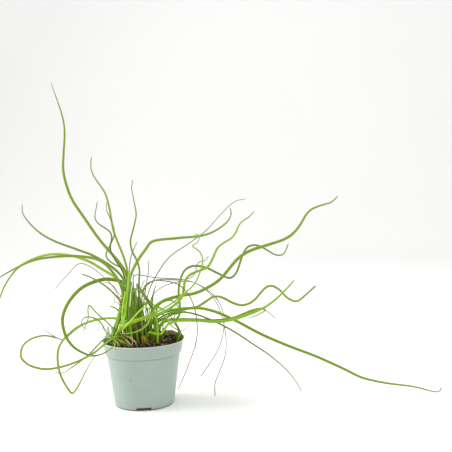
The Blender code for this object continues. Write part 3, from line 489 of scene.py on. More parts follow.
def dead_material(name, pale, dark, roughness):
    """Dead rush, moss and fibre: a papery skin, matt and streaked along its length."""
    mat, tree, shader = blank_material(name, roughness, 1.40)
    streaks, _, _ = culm_streaks(tree, 3.0, 2.6, 5.0, 0.65)
    colour = add_node(tree, "ValToRGB", {"Fac": streaks},
                      stops=[(0.34, from_hex(dark)), (0.62, from_hex(pale))])
    finish_shader(tree, shader, colour[0], streaks, 0.7, 0.08*MM)
    return mat


def rush_material(finish):
    """The material of a living or dead finish, made when a piece first asks for it."""
    made = bpy.data.materials.get(finish)
    if made:
        return made
    if finish in LIVING:
        return culm_material(finish, *LIVING[finish])
    return dead_material(finish, *DEAD[finish])


def sheath_material():
    """Dry basal sheath: thin papery leaf base, red-brown and glossy low down, straw at its lip."""
    mat, tree, shader = blank_material("dry_sheath", 0.45, 1.45)
    streaks, growth, _ = culm_streaks(tree, 5.0, 3.0, 4.0, 0.6)
    rise = add_node(tree, "Math", {0: growth["X"], 1: streaks}, operation="ADD")
    colour = add_node(tree, "ValToRGB", {"Fac": rise[0]},
                      stops=[(0.42, from_hex("#3E2814")), (0.66, from_hex("#664A1C")),
                             (0.86, from_hex("#7E7228")), (1.0, from_hex("#838C40"))])
    finish_shader(tree, shader, colour[0], streaks, 0.6, 0.08*MM)
    return mat


def plastic_material(settings):
    """Injection-moulded recycled polypropylene: satin, evenly coloured, with a faint moulded texture.

    Use has left peat dust on the band and one spot of mould on the front. The lip has a painted
    highlight, the foot painted shade where it meets the floor, and a patchy darker line runs under
    the shelf.
    """
    mat, tree, shader = blank_material("moulded_polypropylene", 0.42, 1.49)
    # Scales count features to the metre: clouds of 38 mm, specks of 1 mm, a moulded grain of 0.6 mm
    place = add_node(tree, "TexCoord")["Object"]
    height = add_node(tree, "SeparateXYZ", {0: place})["Z"]
    cloud = add_node(tree, "TexNoise", {"Vector": place, "Scale": 26.0, "Detail": 3.0})
    plain = add_node(tree, "ValToRGB", {"Fac": cloud["Fac"]},
                     stops=[(0.30, shaded(settings.plastic, 0.93)),
                            (0.70, shaded(settings.plastic, 1.04))])
    specks = add_node(tree, "TexNoise", {"Vector": place, "Scale": 900.0, "Detail": 2.0})
    rise = add_node(tree, "MapRange", {"Value": height, "From Min": 60*MM, "From Max": 73.5*MM,
                                       "To Max": 0.16})
    dusty = add_node(tree, "Math", {0: specks["Fac"], 1: rise[0]}, operation="ADD")
    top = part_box("pot")[1].z
    dusted = laid_over(tree, plain["Color"], "#6E6657", dusty[0], 0.74, 0.82, 0.0, 0.75)
    # Painted highlight: the lip is made paler near the top
    lip_highlighted = laid_over(tree, dusted, "#C8D2C8", height, top - 1.3*MM, top - 0.5*MM, 0.0, 0.55)
    # Painted shade: the foot is darker where the pot meets the floor
    contact_shaded = laid_over(tree, lip_highlighted, "#4C4C42", height, 0.7*MM, 2.0*MM, 0.85, 0.0)
    # Darker in a patchy line just under the shelf
    below = add_node(tree, "Math", {0: height, 1: top - settings.band - 0.6*MM}, operation="SUBTRACT")
    apart = add_node(tree, "Math", {0: below[0]}, operation="ABSOLUTE")
    edge = add_node(tree, "MapRange", {"Value": apart[0], "From Min": 0.3*MM, "From Max": 1.1*MM,
                                       "To Min": 0.9, "To Max": 0.0})
    patchy = add_node(tree, "Math", {0: edge[0], 1: cloud["Fac"]}, operation="MULTIPLY")
    lined = laid_over(tree, contact_shaded, "#6E7064", patchy[0], 0.0, 1.0, 0.0, 1.0)
    away = add_node(tree, "VectorMath", {0: place, 1: MOULD_SPOT}, operation="DISTANCE")
    marked = laid_over(tree, lined, "#7C8A80", away["Value"], 1.0*MM, 2.0*MM, 0.45, 0.0)
    moulded = add_node(tree, "TexNoise", {"Vector": place, "Scale": 1600.0, "Detail": 2.0})
    finish_shader(tree, shader, marked, moulded["Fac"], 0.25, 0.04*MM, (cloud["Fac"], 0.36, 0.52))
    return mat


def peat_material(name, settings, share_brown):
    """Milled peat: moist, almost black, matt, with brown plant fibre broken through it."""
    mat, tree, shader = blank_material(name, 0.92, 1.33, Specular_IOR_Level=0.3)
    # Scales count features to the metre: crumbs of 2.4 mm, patches of 13 mm
    place = add_node(tree, "TexCoord")["Object"]
    grains = add_node(tree, "TexNoise", {"Vector": place, "Scale": 420.0, "Detail": 6.0,
                                         "Roughness": 0.7})["Fac"]
    patches = add_node(tree, "TexNoise", {"Vector": place, "Scale": 75.0, "Detail": 3.0})
    both = add_node(tree, "Math", {0: grains, 1: patches["Fac"]}, operation="MULTIPLY")
    colour = add_node(tree, "ValToRGB", {"Fac": both[0]},
                      stops=[(0.16, shaded(settings.dark, 0.55)), (0.26, shaded(settings.dark, 1.0)),
                             (0.36 - share_brown, shaded(settings.brown, 1.0))])
    finish_shader(tree, shader, colour[0], grains, 0.9, 0.4*MM)
    return mat


# Shapes

def new_object(name, data):
    """A new object of the scene."""
    made = bpy.data.objects.new(name, data)
    bpy.context.scene.collection.objects.link(made)
    return made


def mesh_of(name, bm):
    """Makes the bmesh a mesh, and frees it."""
    mesh = bpy.data.meshes.new(name)
    bm.to_mesh(mesh)
    bm.free()
    return mesh


def finish_object(name, bm, materials, nodes=()):
    """Makes the bmesh a piece that rides on the body, and hides the CAD nodes it stands for."""
    made = new_object(name, mesh_of(name, bm))
    made.data.shade_smooth()
    for mat in materials:
        made.data.materials.append(mat)
    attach(made, BODY)
    if nodes:
        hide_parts(*nodes)
    return made


def merged_copy(node):
    """A CAD node's mesh as a bmesh whose loose triangles are joined."""
    bm = bmesh.new()
    bm.from_mesh(frame["nodes"][node].data)
    bmesh.ops.remove_doubles(bm, verts=bm.verts, dist=CAD_WELD)
    return bm


def root_cap(bm):
    """The vertices of the nearly level face that a culm stands on, inside the pot's rim."""
    seen = set()
    for face in bm.faces:
        if face.normal.z > -0.98 or face in seen:
            continue
        cap, fresh = {face}, [face]
        while fresh:
            for edge in fresh.pop().edges:
                for other in edge.link_faces:
                    if other not in cap and other.normal.dot(face.normal) > 0.99999:
                        cap.add(other)
                        fresh.append(other)
        seen |= cap
        verts = {v for f in cap for v in f.verts}
        middle = sum((v.co for v in verts), Vector())/len(verts)
        if len(verts) >= 5 and math.hypot(middle.x, middle.y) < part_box("soil")[1].x:
            return verts
    raise RuntimeError("a culm has no level foot")


def culm_rings(node):
    """A culm's centre line and radii, read ring by ring from its CAD solid, from the root up."""
    bm = merged_copy(node)
    bm.normal_update()
    ring = root_cap(bm)
    seen = set(ring)
    centres, radii = [], []
    while ring:
        middle = sum((v.co for v in ring), Vector())/len(ring)
        centres.append(np.array(middle))
        radii.append(sum((v.co - middle).length for v in ring)/len(ring))
        ring = {e.other_vert(v) for v in ring for e in v.link_edges} - seen
        seen |= ring
    bm.free()
    return np.array(centres), np.array(radii)


def smooth_line(points, values, step):
    """A centripetal Catmull-Rom line through the points, with the values carried along it."""
    ends = np.vstack((2*points[0] - points[1], points, 2*points[-1] - points[-2]))
    line, carried = [], []
    for k in range(len(points) - 1):
        a, b, c, d = ends[k:k + 4]
        t1 = np.linalg.norm(b - a)**0.5
        t2 = t1 + np.linalg.norm(c - b)**0.5
        t3 = t2 + np.linalg.norm(d - c)**0.5
        count = max(1, round(np.linalg.norm(c - b)/step))
        for t in np.linspace(t1, t2, count, endpoint=False):
            a1 = (t1 - t)/t1*a + t/t1*b
            a2 = (t2 - t)/(t2 - t1)*b + (t - t1)/(t2 - t1)*c
            a3 = (t3 - t)/(t3 - t2)*c + (t - t2)/(t3 - t2)*d
            b1 = (t2 - t)/t2*a1 + t/t2*a2
            b2 = (t3 - t)/(t3 - t1)*a2 + (t - t1)/(t3 - t1)*a3
            line.append((t2 - t)/(t2 - t1)*b1 + (t - t1)/(t2 - t1)*b2)
            carried.append(values[k] + (t - t1)/(t2 - t1)*(values[k + 1] - values[k]))
    line.append(points[-1])
    carried.append(values[-1])
    return np.array(line), np.array(carried)


def run_along(line):
    """How far along the line each of its points is."""
    steps = np.linalg.norm(np.diff(line, axis=0), axis=1)
    return np.concatenate(([0.0], np.cumsum(steps)))


def level_frames(line):
    """Two directions across the line at each point, carried along it without twist."""
    tangents = np.gradient(line, axis=0)
    tangents /= np.linalg.norm(tangents, axis=1)[:, None]
    start = Vector(tangents[0]).orthogonal().normalized()
    firsts, seconds = [], []
    for tangent in tangents:
        tangent = Vector(tangent)
        start = (start - tangent*start.dot(tangent)).normalized()
        firsts.append(start[:])
        seconds.append(tangent.cross(start)[:])
    return np.array(firsts), np.array(seconds)


def add_tube(bm, line, radii, sides, tone, shape=None):
    """Rolls a grid into a closed tube along the line. shape(turn, share) may vary its radius."""
    if not bm.loops.layers.uv.get("culm"):
        bm.loops.layers.uv.new("culm")
    growth = bm.verts.layers.float_vector.get("growth") or bm.verts.layers.float_vector.new("growth")
    shade = bm.verts.layers.float.get("tone") or bm.verts.layers.float.new("tone")
    made = bmesh.ops.create_grid(bm, x_segments=sides, y_segments=len(line) - 1, size=1.0,
                                 calc_uvs=True)["verts"]
    length = run_along(line)
    firsts, seconds = level_frames(line)
    for vert in made:
        turn = (vert.co.x + 1.0)*math.pi
        row = (vert.co.y + 1.0)/2*(len(line) - 1)
        k = min(int(round(row)), len(line) - 1)
        share = length[k]/length[-1]
        radius = radii[k]*(shape(turn, share) if shape else 1.0)
        side = math.cos(turn)*firsts[k] + math.sin(turn)*seconds[k]
        vert.co = Vector(line[k] + radius*side)
        vert[growth] = (share, length[k]/MM, (length[-1] - length[k])/MM)
        vert[shade] = tone
    return made


def weld(bm):
    """Merges doubled points, and turns the faces outwards."""
    bmesh.ops.remove_doubles(bm, verts=bm.verts, dist=WELD)
    bmesh.ops.recalc_face_normals(bm, faces=bm.faces)


def close_tube(bm):
    """Joins a tube's seam and its drawn-in ends."""
    weld(bm)
    loose = [v for v in bm.verts if not v.link_faces]
    bmesh.ops.delete(bm, geom=loose, context="VERTS")


def rounded_ends(line, radii, start, end):
    """Draws both ends of a tube in to a point over the given lengths."""
    length = run_along(line)
    from_root = np.clip(length/start, 0.0, 1.0)
    from_tip = np.clip((length[-1] - length)/end, 0.0, 1.0)
    return radii*np.sqrt(1 - (1 - from_root)**2)*np.sqrt(1 - (1 - from_tip)**2)


def strand(points, sizes, step, start, end):
    """A smoothed line with its radii, drawn in at both ends, through points of one size or many."""
    line, radii = smooth_line(np.array(points), np.zeros(len(points)) + sizes, step)
    return line, rounded_ends(line, radii, start, end)


def lengthened(line, radii, root_depth, tip):
    """Sends the root on into the peat, and packs rings close together at the tip."""
    down = line[0] + np.outer((-1.0, -0.6, -0.3), (0.0, 0.0, root_depth))
    ends = []
    direction = line[-1] - line[-2]
    direction /= np.linalg.norm(direction)
    for share in (0.35, 0.65, 0.88, 1.0):
        ends.append(line[-1] + direction*tip*share)
    line = np.vstack((down, line, ends))
    radii = np.concatenate(([radii[0]]*3, radii, [radii[-1]]*4))
    return line, radii


def oval(flatness):
    """A tube's radius by its turn, for a strip that is flatness times as thick as it is wide."""
    return lambda turn, share: flatness/math.hypot(flatness*math.cos(turn), math.sin(turn))


def grown(seed):
    """A culm's radius by its turn and place: a slight oval, with slow swellings along it."""
    def shape(turn, share):
        swelling = noise.noise(Vector((9*share, seed, 0.0)))
        return 1.0 + 0.035*swelling + 0.03*math.cos(2*turn + seed)
    return shape


CULMS = {}


def culm_lines():
    """Every culm's smoothed centre line and radii, by node."""
    if not CULMS:
        for node in frame["nodes"]:
            if node.startswith(("stem_", "straw_")):
                CULMS[node] = smooth_line(*culm_rings(node), bpy.context.scene.rush_culms.ring_step)
    return CULMS


def slot_of(node):
    """The record's material slot of a CAD node."""
    return next(s["material_slot"] for s in frame["record"]["subparts"] if s["node"] == node)


def on_sight_line(across, up, back):
    """The place that the camera sees at (across, up) on the pot's plane, that far behind it, from mm."""
    on_plane = Vector((across*MM, 0.0, up*MM))
    return EYE + (on_plane - EYE)*(1.0 + back*MM/abs(EYE.y))


def seen_at(point):
    """Where the camera sees a place on the upright plane through the pot's axis, in millimetres."""
    ray = Vector(point) - EYE
    on_plane = EYE + ray*(abs(EYE.y)/ray.y)
    return on_plane.x/MM, on_plane.z/MM


def nearest_on_culm(node, across, up):
    """The point of a culm that the camera sees nearest to a point of the pot's plane."""
    line, _ = culm_lines()[node]
    return min(line, key=lambda p: math.dist(seen_at(p), (across, up)))


def tube_piece(name, finish, slot, line, radii, sides, tone, shape=None, nodes=()):
    """A piece that is one closed tube."""
    bm = bmesh.new()
    add_tube(bm, line, radii, sides, tone, shape)
    close_tube(bm)
    return finish_object(name, bm, [rush_material(finish)], nodes)


def culm_finish(node, settings):
    """The finish of a culm, by its slot, its thickness and its age."""
    slot = slot_of(node)
    _, radii = culm_lines()[node]
    if slot == "dry_straw":
        return "rush_straw"
    if slot != "stem_pale" and 2*float(np.median(radii)) < settings.fine_width:
        return "rush_fine"
    return "rush_young" if node in YOUNGER else slot.replace("stem_", "rush_")


def draw_culm(node, settings):
    """A culm's round skin, from its root in the peat to its tip, in place of its CAD solid."""
    line, radii = lengthened(*culm_lines()[node], settings.root_depth, settings.tip_point)
    radii = np.maximum(radii, settings.least_width/2)
    radii = rounded_ends(line, radii, settings.root_depth/2, 2*settings.tip_point)
    chance = random.Random(node)
    name = node.replace("stem_", "culm_").replace("straw_", "straw_culm_")
    tube_piece(name, culm_finish(node, settings), slot_of(node), line, radii, settings.sides,
               chance.random(), grown(chance.uniform(0, 40)), [node])


def draw_sheath(bm, node, height, opening, settings):
    """One torn sleeve round a culm's foot: a tube with an oblique lip, then given its wall."""
    line, radii = culm_lines()[node]
    chance = random.Random(node)
    length = run_along(line)
    rows = np.linspace(0.0, height*MM, SHEATH_ROWS)
    centres = np.array([[np.interp(d, length, line[:, k]) for k in range(3)] for d in rows])
    sizes = np.interp(rows, length, radii)*1.04 + 0.04*MM
    centres = np.vstack((centres[0] - (0, 0, SHEATH_START), centres))
    sizes = np.concatenate(([sizes[0]*1.06], sizes))
    sleeve = bmesh.new()
    made = add_tube(sleeve, centres, sizes, SHEATH_SIDES, chance.random())
    slit = math.radians(opening)
    growth = sleeve.verts.layers.float_vector["growth"]
    for vert in made:
        share = vert[growth].x
        k = min(int(share*(len(centres) - 1)), len(centres) - 2)
        side = vert.co - Vector(centres[k])
        bearing = math.atan2(side.y, side.x)
        torn = 0.72 + 0.28*math.cos(bearing - slit) + 0.05*math.sin(5*bearing + height)
        target = share*torn*(len(centres) - 1)
        k = min(int(target), len(centres) - 2)
        middle = Vector(centres[k]).lerp(Vector(centres[k + 1]), target - k)
        out = Vector((math.cos(bearing), math.sin(bearing), 0.0))
        axis = Vector(centres[k + 1] - centres[k]).normalized()
        out = (out - axis*out.dot(axis)).normalized()
        flare = 1.0 + 0.10*max(0.0, share - 0.8)/0.2
        vert.co = middle + out*sizes[k]*flare
    weld(sleeve)
    bmesh.ops.solidify(sleeve, geom=sleeve.faces, thickness=-settings.sheath_wall)
    mesh = mesh_of("sleeve", sleeve)
    bm.from_mesh(mesh)
    bpy.data.meshes.remove(mesh)


def softened(profile, steps=4):
    """A profile of (radius, height, fillet) in millimetres, with an arc at each corner."""
    points = [Vector((r, z)) for r, z, _ in profile]
    out = [points[0]]
    for before, corner, after, (_, _, fillet) in zip(points, points[1:], points[2:], profile[1:]):
        start = corner + (before - corner).normalized()*fillet
        end = corner + (after - corner).normalized()*fillet
        for t in np.linspace(0.0, 1.0, steps + 1):
            out.append(start.lerp(corner, t).lerp(corner.lerp(end, t), t))
    out.append(points[-1])
    return out


def turned(profile, steps):
    """Spins a profile of (radius, height) in millimetres, which starts and ends on the axis."""
    bm = bmesh.new()
    verts = [bm.verts.new((r*MM, 0.0, z*MM)) for r, z in profile]
    edges = [bm.edges.new(pair) for pair in zip(verts[:-1], verts[1:])]
    bmesh.ops.spin(bm, geom=verts + edges, cent=(0, 0, 0), axis=(0, 0, 1), angle=2*math.pi,
                   steps=steps, use_merge=True)
    weld(bm)
    return bm


def pot_profile(settings):
    """The pot's section from the middle of its base, up its outside and down its inside."""
    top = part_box("pot")[1].z/MM
    wall = settings.wall/MM
    shelf = top - settings.band/MM
    rim, band_foot, body_top, foot = RIM_RADIUS, BAND_FOOT_RADIUS, BODY_TOP_RADIUS, FOOT_RADIUS
    return [
        (0, 0.8, 0), (foot - 6.0, 0.8, 0.5), (foot - 5.0, 0.0, 0.4), (foot - 0.7, 0.0, 0.5),
        (foot + 0.1, 0.9, 0.6), (body_top - 0.2, shelf - 1.4, 0.7), (band_foot - 0.7, shelf - 0.1, 0.5),
        (band_foot + 0.1, shelf + 0.5, 0.45), (rim - 0.35, top - 1.75, 0.3), (rim + 0.25, top - 1.35, 0.3),
        (rim + 0.28, top - 0.45, 0.3), (rim - 0.25, top - 0.03, 0.3), (rim - wall + 0.1, top - 0.05, 0.3),
        (rim - wall - 0.2, top - 1.6, 0.8), (band_foot - wall + 0.4, shelf + 2.3, 0.9),
        (body_top - wall, shelf + 0.6, 0.9), (foot - wall + 0.3, 1.6, 0.9), (0, 1.6, 0),
    ]


def slot_bearing(settings, index):
    """The turn that takes something made along X to one of the drain slots."""
    return Matrix.Rotation(settings.slot_turn + index*2*math.pi/settings.slots, 3, "Z")


def slot_cutter(settings, index):
    """A wedge, narrower at the top, that cuts one drain slot through the foot of the wall."""
    bm = bmesh.new()
    bmesh.ops.create_cube(bm, size=1.0)
    for vert in bm.verts:
        high = vert.co.z > 0
        vert.co.x *= 7.0*MM
        vert.co.y *= settings.slot_width*(0.86 if high else 1.0)
        vert.co.z = settings.slot_height if high else -MM
    upright = [e for e in bm.edges if abs(e.verts[0].co.z - e.verts[1].co.z) > MM]
    bmesh.ops.bevel(bm, geom=upright, offset=0.4*MM, offset_type="OFFSET", affect="EDGES",
                    segments=3, profile=0.5, material=-1)
    bmesh.ops.translate(bm, verts=bm.verts, vec=(FOOT_RADIUS*MM, 0, 0))
    bmesh.ops.rotate(bm, verts=bm.verts, cent=(0, 0, 0), matrix=slot_bearing(settings, index))
    return new_object("slot_cutter", mesh_of("slot_cutter", bm))


def cut_slots(bm, settings):
    """The pot's bmesh with its drain slots cut."""
    blank = new_object("uncut_pot", mesh_of("uncut_pot", bm))
    cutters = [slot_cutter(settings, k) for k in range(settings.slots)]
    for cutter in cutters:
        cut = blank.modifiers.new("slot", "BOOLEAN")
        cut.object = cutter
        cut.operation = "DIFFERENCE"
        cut.solver = "EXACT"
    evaluated = blank.evaluated_get(bpy.context.evaluated_depsgraph_get())
    done = bmesh.new()
    done.from_mesh(evaluated.to_mesh())
    evaluated.to_mesh_clear()
    for obj in (blank, *cutters):
        bpy.data.objects.remove(obj, do_unlink=True)
    return done


def tree_of(mesh):
    """A tree that finds where a ray meets the mesh."""
    return BVHTree.FromPolygons([v.co for v in mesh.vertices],
                                [tuple(p.vertices) for p in mesh.polygons])


def soil_side():
    """The CAD peat's wall as (radius, height) in millimetres, from under its top edge down."""
    bm = merged_copy("soil")
    levels = {}
    for vert in bm.verts:
        if vert.co.z < PEAT_SHOULDER*MM:
            levels.setdefault(round(vert.co.z/MM, 1), []).append(math.hypot(vert.co.x, vert.co.y)/MM)
    bm.free()
    return [(max(radii), height) for height, radii in sorted(levels.items(), reverse=True)]


def build_peat(settings, mat):
    """The peat: a turned block whose top follows the CAD peat, with crumbly lumps raised on it."""
    side = soil_side()
    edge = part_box("soil")[1].x/MM + 0.3
    cad_top = tree_of(frame["nodes"]["soil"].data)
    ring_count = round(edge*MM/settings.grain)
    profile = [(edge*k/ring_count, PEAT_LEVEL) for k in range(ring_count + 1)]
    profile += [(edge, PEAT_LEVEL - 2.5)] + side + [(0.0, side[-1][1])]
    bm = turned(profile, PEAT_FACETS)
    for vert in bm.verts:
        if vert.co.z < (PEAT_LEVEL - 0.5)*MM:
            continue
        # The CAD peat is looked for a little further in, because its edge has fewer facets
        inward = Vector((vert.co.x, vert.co.y, 0.0))*0.985
        level = on_peat(cad_top, inward.x, inward.y)
        coarse = noise.fractal(vert.co*190, 0.7, 2.1, 4)
        fine = noise.noise(vert.co*950)
        room = min(1.0, (edge*MM - inward.length)/(2.5*MM) + 0.25)
        vert.co.z = level + settings.lump*room*(0.8*coarse + 0.35*fine) + 0.25*MM
    return finish_object("peat", bm, [mat], ["soil"])


def on_peat(peat, x, y):
    """The height of the peat at a place."""
    hit = peat.ray_cast(Vector((x, y, OVERHEAD)), DOWN)[0]
    return hit.z if hit else PEAT_LEVEL*MM


def tree_at(points):
    """A tree that finds the nearest of some points."""
    tree = KDTree(len(points))
    for k, point in enumerate(points):
        tree.insert(point, k)
    tree.balance()
    return tree


def somewhere(chance, reach, middle=(0.0, 0.0)):
    """A random place in a circle."""
    away, bearing = reach*math.sqrt(chance.random()), chance.uniform(0, 2*math.pi)
    return middle[0] + away*math.cos(bearing), middle[1] + away*math.sin(bearing)


def scatter_spots(chance, count, reach, clear):
    """Random places on the peat, clear of the culms' feet."""
    feet = tree_at([(line[0][0], line[0][1], 0.0) for line, _ in culm_lines().values()])
    spots = []
    while len(spots) < count:
        x, y = somewhere(chance, reach)
        if feet.find((x, y, 0.0))[2] > clear:
            spots.append((x, y))
    return spots


def build_crumbs(settings, peat, materials):
    """Loose crumbs of peat on the surface: dark, brown and dried pale."""
    chance = random.Random(11)
    bm = bmesh.new()
    for x, y in scatter_spots(chance, settings.crumbs, CRUMB_REACH, 2.2*MM):
        size = 0.35*MM + 0.95*MM*chance.random()**2.6
        spot = Vector((x, y, on_peat(peat, x, y) + 0.35*size))
        knobbly(bm, spot, size, chance, chance.choices((0, 1, 2), (0.60, 0.24, 0.16))[0])
    return finish_object("peat_crumbs", bm, materials)


def build_bank(settings, peat, materials):
    """Loose peat heaped against the culms' feet at the front, highest where they stand."""
    chance = random.Random(31)
    left, right, front, back = -16.0*MM, 30.0*MM, -38.0*MM, -25.5*MM
    bm = bmesh.new()
    for _ in range(settings.bank):
        x, y = chance.uniform(left, right), chance.uniform(front, back)
        if math.hypot(x, y) > BANK_REACH:
            continue
        slope = max(0.0, 1.0 - abs(y + settings.bank_ridge)/(10*MM))
        ends = min(1.0, (x - left + MM)/(9*MM), (right - x + MM)/(12*MM))
        rise = settings.bank_height*slope*ends
        size = 0.45*MM + 0.75*MM*chance.random()**2
        spot = Vector((x, y, on_peat(peat, x, y) + rise*chance.uniform(0.2, 1.0)))
        knobbly(bm, spot, size, chance, chance.choices((0, 1, 2), (0.56, 0.24, 0.20))[0])
    return finish_object("peat_bank", bm, materials)


def build_fibres(settings, peat, mat):
    """Loose plant fibres that lie curled on the peat."""
    chance = random.Random(5)
    bm = bmesh.new()
    for x, y in scatter_spots(chance, settings.fibres, FIBRE_REACH - 4*MM, 1.6*MM):
        heading = chance.uniform(0, 2*math.pi)
        bend = chance.uniform(-0.5, 0.5)
        points = []
        for k in range(FIBRE_JOINTS):
            arch = math.sin(k*math.pi/(FIBRE_JOINTS - 1))
            points.append((x, y, on_peat(peat, x, y) + 0.25*MM + 0.5*MM*arch))
            x += FIBRE_STEP*math.cos(heading)
            y += FIBRE_STEP*math.sin(heading)
            heading += bend + chance.uniform(-0.25, 0.25)
            if math.hypot(x, y) > FIBRE_REACH:
                break
        if len(points) < 3:
            continue
        fibre = strand(points, chance.uniform(0.10, 0.22)*MM, 0.9*MM, 0.4*MM, 0.9*MM)
        add_tube(bm, *fibre, 6, chance.random())
    close_tube(bm)
    return finish_object("peat_fibres", bm, [mat])


def route_point(point, peat):
    """A route's point (across, up, back), or where the camera sees (across, up) on the peat."""
    if len(point) == 3:
        spot = on_sight_line(*point)
        if math.hypot(spot.x, spot.y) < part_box("soil")[1].x:
            spot.z = max(spot.z, on_peat(peat, spot.x, spot.y) + 0.4*MM)
        return np.array(spot)
    toward = (Vector((point[0]*MM, 0.0, point[1]*MM)) - EYE).normalized()
    hit = peat.ray_cast(EYE, toward)[0]
    if hit is None:
        raise RuntimeError(f"nothing is seen on the peat at {point}")
    return np.array(hit) + (0, 0, 0.3*MM)


def build_scrap(name, finish, width, flatness, route, peat):
    """A scrap of dead rush: a flattened strip with torn, drawn-in ends."""
    scrap = strand([route_point(point, peat) for point in route], 0.5*width*MM, STRAW_STEP, 0.8*MM, 2.5*MM)
    tube_piece(name, finish, "dry_straw", *scrap, 10, 0.5, oval(flatness))


def build_shoot(name, finish, width, node, route):
    """A slender shoot that leaves a culm's foot and tapers towards its end."""
    points = [nearest_on_culm(node, *route[0][:2])] + [on_sight_line(*point) for point in route]
    sizes = 0.5*width*MM*np.linspace(1.0, 0.72, len(points))
    shoot = strand(points, sizes, bpy.context.scene.rush_culms.ring_step, 0.6*MM, 2.5*MM)
    chance = random.Random(name)
    tube_piece(name, finish, "stem_green", *shoot, 10, chance.random(), grown(chance.uniform(0, 40)))


def build_thread(name, finish, width, node, route):
    """A fine dry thread that grows from a culm and hangs where the camera sees it."""
    start = nearest_on_culm(node, *route[0])
    chance = random.Random(name)
    drift = chance.uniform(-0.12, 0.12)
    points = [start]
    for across, up in route:
        away = math.dist(route[0], (across, up))
        points.append(on_sight_line(across, up, start[1]/MM + drift*away))
    thread = strand(points, 0.5*width*MM, STRAW_STEP, 0.3*MM, 9*MM)
    tube_piece(name, finish, "dry_straw", *thread, 6, chance.random())


def low_points(ceiling):
    """The culms' points under a height, with their radii, and a tree that finds them."""
    low = [(point, radius) for line, radii in culm_lines().values()
           for point, radius in zip(line, radii) if point[2] < ceiling]
    return [radius for _, radius in low], tree_at([point for point, _ in low])


def build_bases(settings, peat, materials):
    """Old leaf bases and short new shoots that fill the clump, each clear of the culms."""
    chance = random.Random(23)
    radii_near, near = low_points(105*MM)
    feet = [line[0] for line, _ in culm_lines().values() if math.hypot(line[0][0], line[0][1]) < 30*MM]
    bm = bmesh.new()
    shares = (0.0, 0.25, 0.5, 0.75, 1.0)
    stood = []
    for _ in range(12*settings.bases):
        if len(stood) >= settings.bases:
            break
        foot = chance.choice(feet)
        away, bearing = chance.uniform(*BASE_AWAY)*MM, chance.uniform(0, 2*math.pi)
        x, y = foot[0] + away*math.cos(bearing), foot[1] + away*math.sin(bearing)
        height = chance.uniform(*BASE_HEIGHT)*MM
        radius = chance.uniform(*BASE_RADIUS)*MM
        lean = Vector((x, y, 0.0))*chance.uniform(0.0, 0.25)
        bow = Vector((chance.uniform(-1, 1), chance.uniform(-1, 1), 0.0))*0.06*height
        bottom = Vector((x, y, on_peat(peat, x, y) - 1.5*MM))
        points = [bottom + Vector((0, 0, height))*t + lean*t*t + bow*math.sin(math.pi*t) for t in shares]
        near_culm = any((point - place).length < radius + radii_near[k]
                        for point in points for place, k, _ in near.find_n(point, 4))
        if near_culm or any(math.dist(spot, (x, y)) < BASE_APART for spot in stood):
            continue
        stood.append((x, y))
        sizes = np.array([radius*(1.0 - 0.45*t) for t in shares])
        made = add_tube(bm, *strand(points, sizes, 1.6*MM, 0.5*MM, 1.2*MM), 8, chance.random())
        tint(made, 1 if chance.random() < 0.3 else 0)
    close_tube(bm)
    return finish_object("old_bases", bm, materials)


def build_moss(name, finish, middle, reach, count, height, thickness, lean, peat):
    """Fine moss: tapered hairs of four sides that stand on the peat and lean every way."""
    chance = random.Random(name)
    bm = bmesh.new()
    for _ in range(count):
        x, y = somewhere(chance, reach*MM, (middle[0]*MM, middle[1]*MM))
        if math.hypot(x, y) > MOSS_REACH:
            continue
        tall = height*MM*chance.uniform(0.5, 1.0)
        up = Vector((lean[0] + chance.uniform(-0.6, 0.6), lean[1] + chance.uniform(-0.6, 0.6), 1.0))
        foot = Vector((x, y, on_peat(peat, x, y) - 0.2*MM))
        turn = up.to_track_quat("Z", "Y").to_matrix().to_4x4()
        place = Matrix.Translation(foot + up.normalized()*tall/2) @ turn
        bmesh.ops.create_cone(bm, cap_ends=True, segments=4, radius1=thickness*MM/2,
                              radius2=thickness*MM/8, depth=tall, matrix=place)
    finish_object(name, bm, [rush_material(finish)])


def tint(verts, index):
    """Gives the faces round some vertices one of the piece's materials."""
    for vert in verts:
        for face in vert.link_faces:
            face.material_index = index


def knobbly(bm, spot, size, chance, kind):
    """One crumb: a lump of twenty faces, squashed and dented at random."""
    lump = bmesh.ops.create_icosphere(bm, subdivisions=1, radius=size,
                                      matrix=Matrix.Translation(spot))["verts"]
    stretch = Vector((chance.uniform(0.7, 1.3), chance.uniform(0.7, 1.3), chance.uniform(0.5, 0.9)))
    for vert in lump:
        vert.co = spot + (vert.co - spot)*stretch*(1.0 + chance.uniform(-0.28, 0.28))
    tint(lump, kind)


def build_slot_peat(pot, mat):
    """Crumbs of peat pressed into the drain slots from inside."""
    chance = random.Random(17)
    bm = bmesh.new()
    for k in range(pot.slots):
        turn = slot_bearing(pot, k)
        for _ in range(SLOT_CRUMBS):
            size = chance.uniform(0.4, 0.75)*MM
            spot = Vector((chance.uniform(FOOT_RADIUS - 3.0, FOOT_RADIUS - 1.5)*MM,
                           chance.uniform(-0.42, 0.42)*pot.slot_width,
                           chance.uniform(1.3*size, pot.slot_height - 0.4*size)))
            knobbly(bm, turn @ spot, size, chance, 0)
    return finish_object("slot_peat", bm, [mat])


def area_light(name, power, size, place, aim, colour):
    """A soft square light that points from its place at its aim."""
    data = bpy.data.lights.new(name, "AREA")
    data.energy = power
    data.size = size
    data.color = colour
    light = new_object(name, data)
    light.location = place
    light.rotation_euler = (Vector(aim) - Vector(place)).to_track_quat("-Z", "Y").to_euler()


def paper_material(settings):
    """Matt white paper sweep, very slightly uneven."""
    mat, tree, shader = blank_material("paper_sweep", 0.85, 1.45, Specular_IOR_Level=0.2)
    place = add_node(tree, "TexCoord")["Object"]
    cloud = add_node(tree, "TexNoise", {"Vector": place, "Scale": 1.5})
    colour = add_node(tree, "ValToRGB", {"Fac": cloud["Fac"]},
                      stops=[(0.3, shaded(settings.floor, 0.985)), (0.7, shaded(settings.floor, 1.0))])
    tree.links.new(colour[0], shader.inputs["Base Color"])
    return mat


